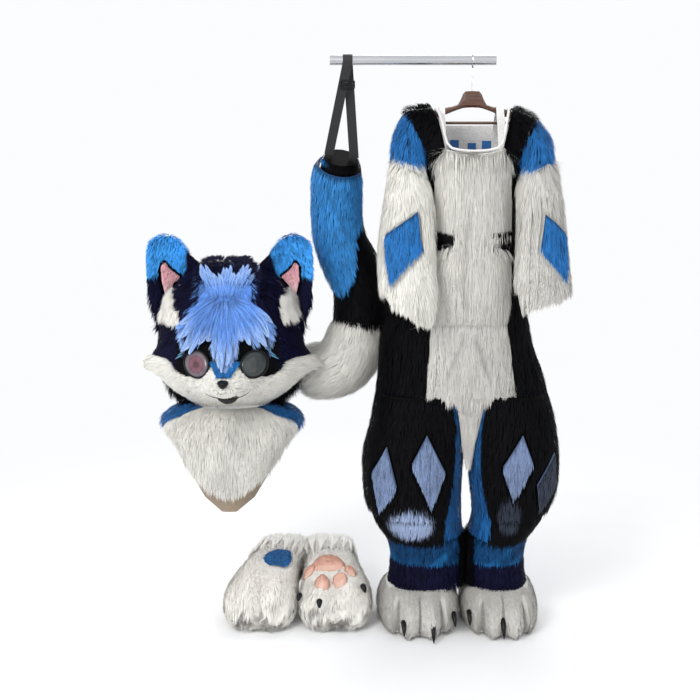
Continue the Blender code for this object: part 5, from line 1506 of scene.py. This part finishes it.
class COSTUME_OT_paws(bpy.types.Operator):
    """Hand paws with a blue spot, pads and claws"""

    bl_idname = "costume.paws"
    bl_label = "Paws"

    def execute(self, context):
        def under(p, way):
            """The side on which the paw lies."""
            return (way[:, 2] < -0.85) & (p[:, 2] < FLOOR_Z + 0.01)

        def ends(p, rng):
            """Painted shade in patches low on the toes, near the floor."""
            low = ease(-p[:, 1], 0.085, 0.135) * ease(-p[:, 2], 1.425, 1.47)
            return low * ease(ripple(p, 0.012, 17)[:, 0], -0.1, 0.9) * 0.9

        def long(p):
            """Longer at the toes and at the cuff."""
            return 0.020 + 0.014 * ease(-p[:, 1], 0.03, 0.12) + 0.018 * ease(p[:, 1], 0.13, 0.19)

        def palm(p, way):
            """The side that it lies on and the pads on the other."""
            return under(p, way) | on_pads(p) & (way[:, 2] > 0)

        # The paws' fur takes painted shade low on the toes as its second colour
        look = {"width": 0.0014, "lift": (24, 8), "clump": 0.2, "lock": 0.012, "second": ends, "silk": 0.85}
        # The paws take the lighter copy of the white fur, which is painted light
        look.update(stuffed=0.6, floor=True, finish="painted_lit_white_fur")
        left, right = {"under": ("paw_spot",), "bare": under}, {"clear": on_pads, "bare": palm}
        dress("paw_left", "white_fur", "paw_left", fingerward, long, 140000, **left, **look)
        dress("paw_right", "white_fur", "paw_right", fingerward, long, 140000, **right, **look)

        def off_cuff(p, way):
            """Everywhere but the top of the cuff."""
            return (p[:, 1] < 0.150) | (way[:, 2] < 0.2)

        fluff = {"width": 0.0013, "clump": 0.06, "lock": 0.007, "lift": (44, 22), "sink": 0.0, "silk": 0.85}
        # The cuff fluff takes the lighter copy of the white fur, which is painted light
        fluff.update(finish="painted_lit_white_fur", behind=1.0, bare=off_cuff)
        for name, _ in SIDES:
            cloth = node_cloth("paw_" + name, "paw_" + name)
            grow("cuff_fluff_" + name, cloth, "white_fur", upward, 0.022, 300000, **fluff)
        spot = {**SHORT, "sink": 0.001, "held": "laid", "rests": ("paw_left",)}
        dress("paw_spot", "blue_fur", "paw_left", fingerward, 0.011, 330000, (0.08, 0.09), **spot)
        self.pads()
        pairs = [
            ((-0.401, -0.112, -1.434), (-0.4008, -0.130, -1.448)),
            ((-0.283, -0.058, -1.412), (-0.276, -0.077, -1.425)),
            ((-0.4555, -0.083, -1.428), (-0.4595, -0.101, -1.440)),
        ]
        claws("paw_claws", pairs, 0.0090)
        return {"FINISHED"}

    def pads(self):
        """Five plump pads: a wide one on the palm and four small ones."""
        surface = Surface("paw_right")
        parts, sides, rings = [], 32, 6
        turn = turns(sides)
        for x0, y0, wide, deep, rise, lean in PADS:
            wave = 1 + (0.09 * np.cos(3 * turn + math.pi / 2) if wide > 0.03 else 0)
            x_reach = wide * squared(np.cos(turn), 0.9) * wave
            y_reach = deep * squared(np.sin(turn), 0.9) * wave
            points = []
            # The first ring lies under the fur, the last one is the single point on top
            for k, r in enumerate([1.0, *np.linspace(1, 0, rings + 1)]):
                x, y = x0 + (x_reach + lean * y_reach) * r, y0 + y_reach * r
                z = np.array([surface.below(u, v)[0][2] for u, v in zip(x, y)])
                z = z - 0.004 if k == 0 else z - 0.001 + rise * (1 - r**3) ** 0.5
                points.append(np.stack([x, y, z], axis=1)[: sides if r else 1])
            points = np.concatenate(points)
            faces = [tuple(range(sides))[::-1]]
            faces += [(a, b, b + sides, a + sides) for a, b in around(rings, sides)]
            last = rings * sides
            faces += [(last + j, last + (j + 1) % sides, last + sides) for j in range(sides)]
            parts.append((points, faces))
        points, faces = joined(parts)
        plush = solid_mesh("plump_pads", points, faces, "pads", finish_of("pads"))
        tinted(plush, np.tile([0.7, 0.5, 0.0, 1.0], (len(points), 1)))
        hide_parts("paw_pads")
        tris = [(f[0], f[k], f[k + 1]) for f in faces if len(f) < 5 for k in range(1, len(f) - 1)]
        cloth = Cloth(points, np.array(tris))

        def hidden(p, way):
            """The sides and the underside of the pads."""
            return way[:, 2] < 0.1

        look = {**SHORT, "sink": 0.0, "lift": (50, 35), "width": 0.0011, "bare": hidden}
        grow("pad_plush", cloth, "pads", fingerward, 0.0035, 700000, **look)


class COSTUME_OT_hanger(bpy.types.Operator):
    """Wooden hanger, its hook and the rail"""

    bl_idname = "costume.hanger"
    bl_label = "Hanger and rail"

    def execute(self, context):
        wood = {"coat": 0.3, "stretch": (1, 14, 14), "scale": 22.0, "streak": 0.45}
        steel = {"metallic": 1.0, "stretch": (0.3, 20, 20), "scale": 40.0, "streak": 0.1}
        for name, finish, colour, rough, look in (
            ("hanger", "wood", (0.085, 0.034, 0.018), 0.42, wood),
            ("rail", "rail", (0.52, 0.53, 0.55), 0.34, steel),
            ("hanger_hook", "hook", (0.62, 0.62, 0.64), 0.2, {"metallic": 1.0, "streak": 0.08}),
        ):
            material = hard_material(finish, colour, rough, **look)
            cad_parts[name].data.materials.clear()
            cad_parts[name].data.materials.append(material)
        return {"FINISHED"}


class COSTUME_OT_stage(bpy.types.Operator):
    """Pale floor, soft studio lights and the camera"""

    bl_idname = "costume.stage"
    bl_label = "Stage"

    def execute(self, context):
        scene = bpy.context.scene
        scene.view_settings.view_transform = "Standard"
        far = 30.0
        floor = bpy.data.meshes.new("floor")
        corners = [(-far, -far, FLOOR_Z), (far, -far, FLOOR_Z), (far, far, FLOOR_Z), (-far, far, FLOOR_Z)]
        floor.from_pydata(corners, [], [(0, 1, 2, 3)])
        floor.materials.append(self.paint())
        ground = bpy.data.objects.new("floor", floor)
        scene.collection.objects.link(ground)
        world = bpy.data.worlds.new("studio")
        scene.world = world
        world.use_nodes = True
        world.node_tree.nodes["Background"].inputs["Color"].default_value = (0.97, 0.98, 1.0, 1)
        world.node_tree.nodes["Background"].inputs["Strength"].default_value = 1.0
        for name, place, power, size in (
            ("key_light", (-2.2, -3.0, 1.4), 85, 1.6),
            ("fill_light", (2.2, -2.6, 0.4), 14, 2.0),
            ("back_light", (0.3, 2.6, 1.4), 25, 1.5),
        ):
            light = bpy.data.lights.new(name, "AREA")
            light.energy, light.size = power, size
            lamp = bpy.data.objects.new(name, light)
            lamp.location = place
            aim = Vector((-0.3, 0, -0.8)) - Vector(place)
            lamp.rotation_euler = aim.to_track_quat("-Z", "Y").to_euler()
            scene.collection.objects.link(lamp)
        camera = bpy.data.cameras.new("camera")
        camera.sensor_width = 36
        camera.lens = camera.sensor_width * FOCAL
        eye = bpy.data.objects.new("camera", camera)
        eye.location = EYE
        eye.rotation_euler = Euler((math.radians(90 - LOOKS_DOWN), 0, 0))
        scene.collection.objects.link(eye)
        scene.camera = eye
        return {"FINISHED"}

    def paint(self):
        """Matt pale paint that goes over into the bright studio further out."""
        paint, tree, shader = shader_of("pale_floor")
        spots = ramp(tree, grain(tree, 3.0), (0.3, 0.84), (0.7, 0.87))
        tree.links.new(spots, shader.inputs["Base Color"])
        shader.inputs["Roughness"].default_value = 0.9
        place = tree.nodes.new("ShaderNodeTexCoord")
        far = tree.nodes.new("ShaderNodeVectorMath")
        far.operation = "DISTANCE"
        far.inputs[1].default_value = (-0.3, 0.0, FLOOR_Z)
        tree.links.new(place.outputs["Object"], far.inputs[0])
        fade = node(tree, "ShaderNodeMapRange", From_Min=0.8, From_Max=2.2)
        fade.interpolation_type = "SMOOTHSTEP"
        tree.links.new(far.outputs["Value"], fade.inputs["Value"])
        glow = node(tree, "ShaderNodeEmission", Color=(0.97, 0.98, 1.0, 1))
        mix = tree.nodes.new("ShaderNodeMixShader")
        tree.links.new(fade.outputs["Result"], mix.inputs["Fac"])
        tree.links.new(shader.outputs["BSDF"], mix.inputs[1])
        tree.links.new(glow.outputs["Emission"], mix.inputs[2])
        tree.links.new(mix.outputs["Shader"], tree.nodes["Material Output"].inputs["Surface"])
        return paint


OPERATORS = (
    COSTUME_OT_stage,
    COSTUME_OT_hanger,
    COSTUME_OT_tapes,
    COSTUME_OT_trunk,
    COSTUME_OT_sleeves,
    COSTUME_OT_legs,
    COSTUME_OT_feet,
    COSTUME_OT_tail,
    COSTUME_OT_head,
    COSTUME_OT_ears,
    COSTUME_OT_hair,
    COSTUME_OT_bib,
    COSTUME_OT_paws,
)


class COSTUME_PT_panel(bpy.types.Panel):
    """Sizes, colours and the pieces of the costume"""

    bl_idname = "COSTUME_PT_panel"
    bl_label = "Costume"
    bl_space_type = "VIEW_3D"
    bl_region_type = "UI"
    bl_category = "Costume"

    def draw(self, context):
        for group in props():
            box = self.layout.box()
            for name in group.bl_rna.properties.keys():
                if name not in ("rna_type", "name"):
                    box.prop(group, name)
        for operator in OPERATORS:
            self.layout.operator(operator.bl_idname)


CLASSES = (CostumeFur, CostumeColours, *OPERATORS, COSTUME_PT_panel)


def register():
    for cls in CLASSES:
        bpy.utils.register_class(cls)
    bpy.types.Scene.costume_fur = bpy.props.PointerProperty(type=CostumeFur)
    bpy.types.Scene.costume_colours = bpy.props.PointerProperty(type=CostumeColours)


def unregister():
    del bpy.types.Scene.costume_fur
    del bpy.types.Scene.costume_colours
    for cls in reversed(CLASSES):
        bpy.utils.unregister_class(cls)


def main():
    register()
    for operator in OPERATORS:
        group, name = operator.bl_idname.split(".")
        getattr(getattr(bpy.ops, group), name)()


if __name__ == "__main__":
    main()
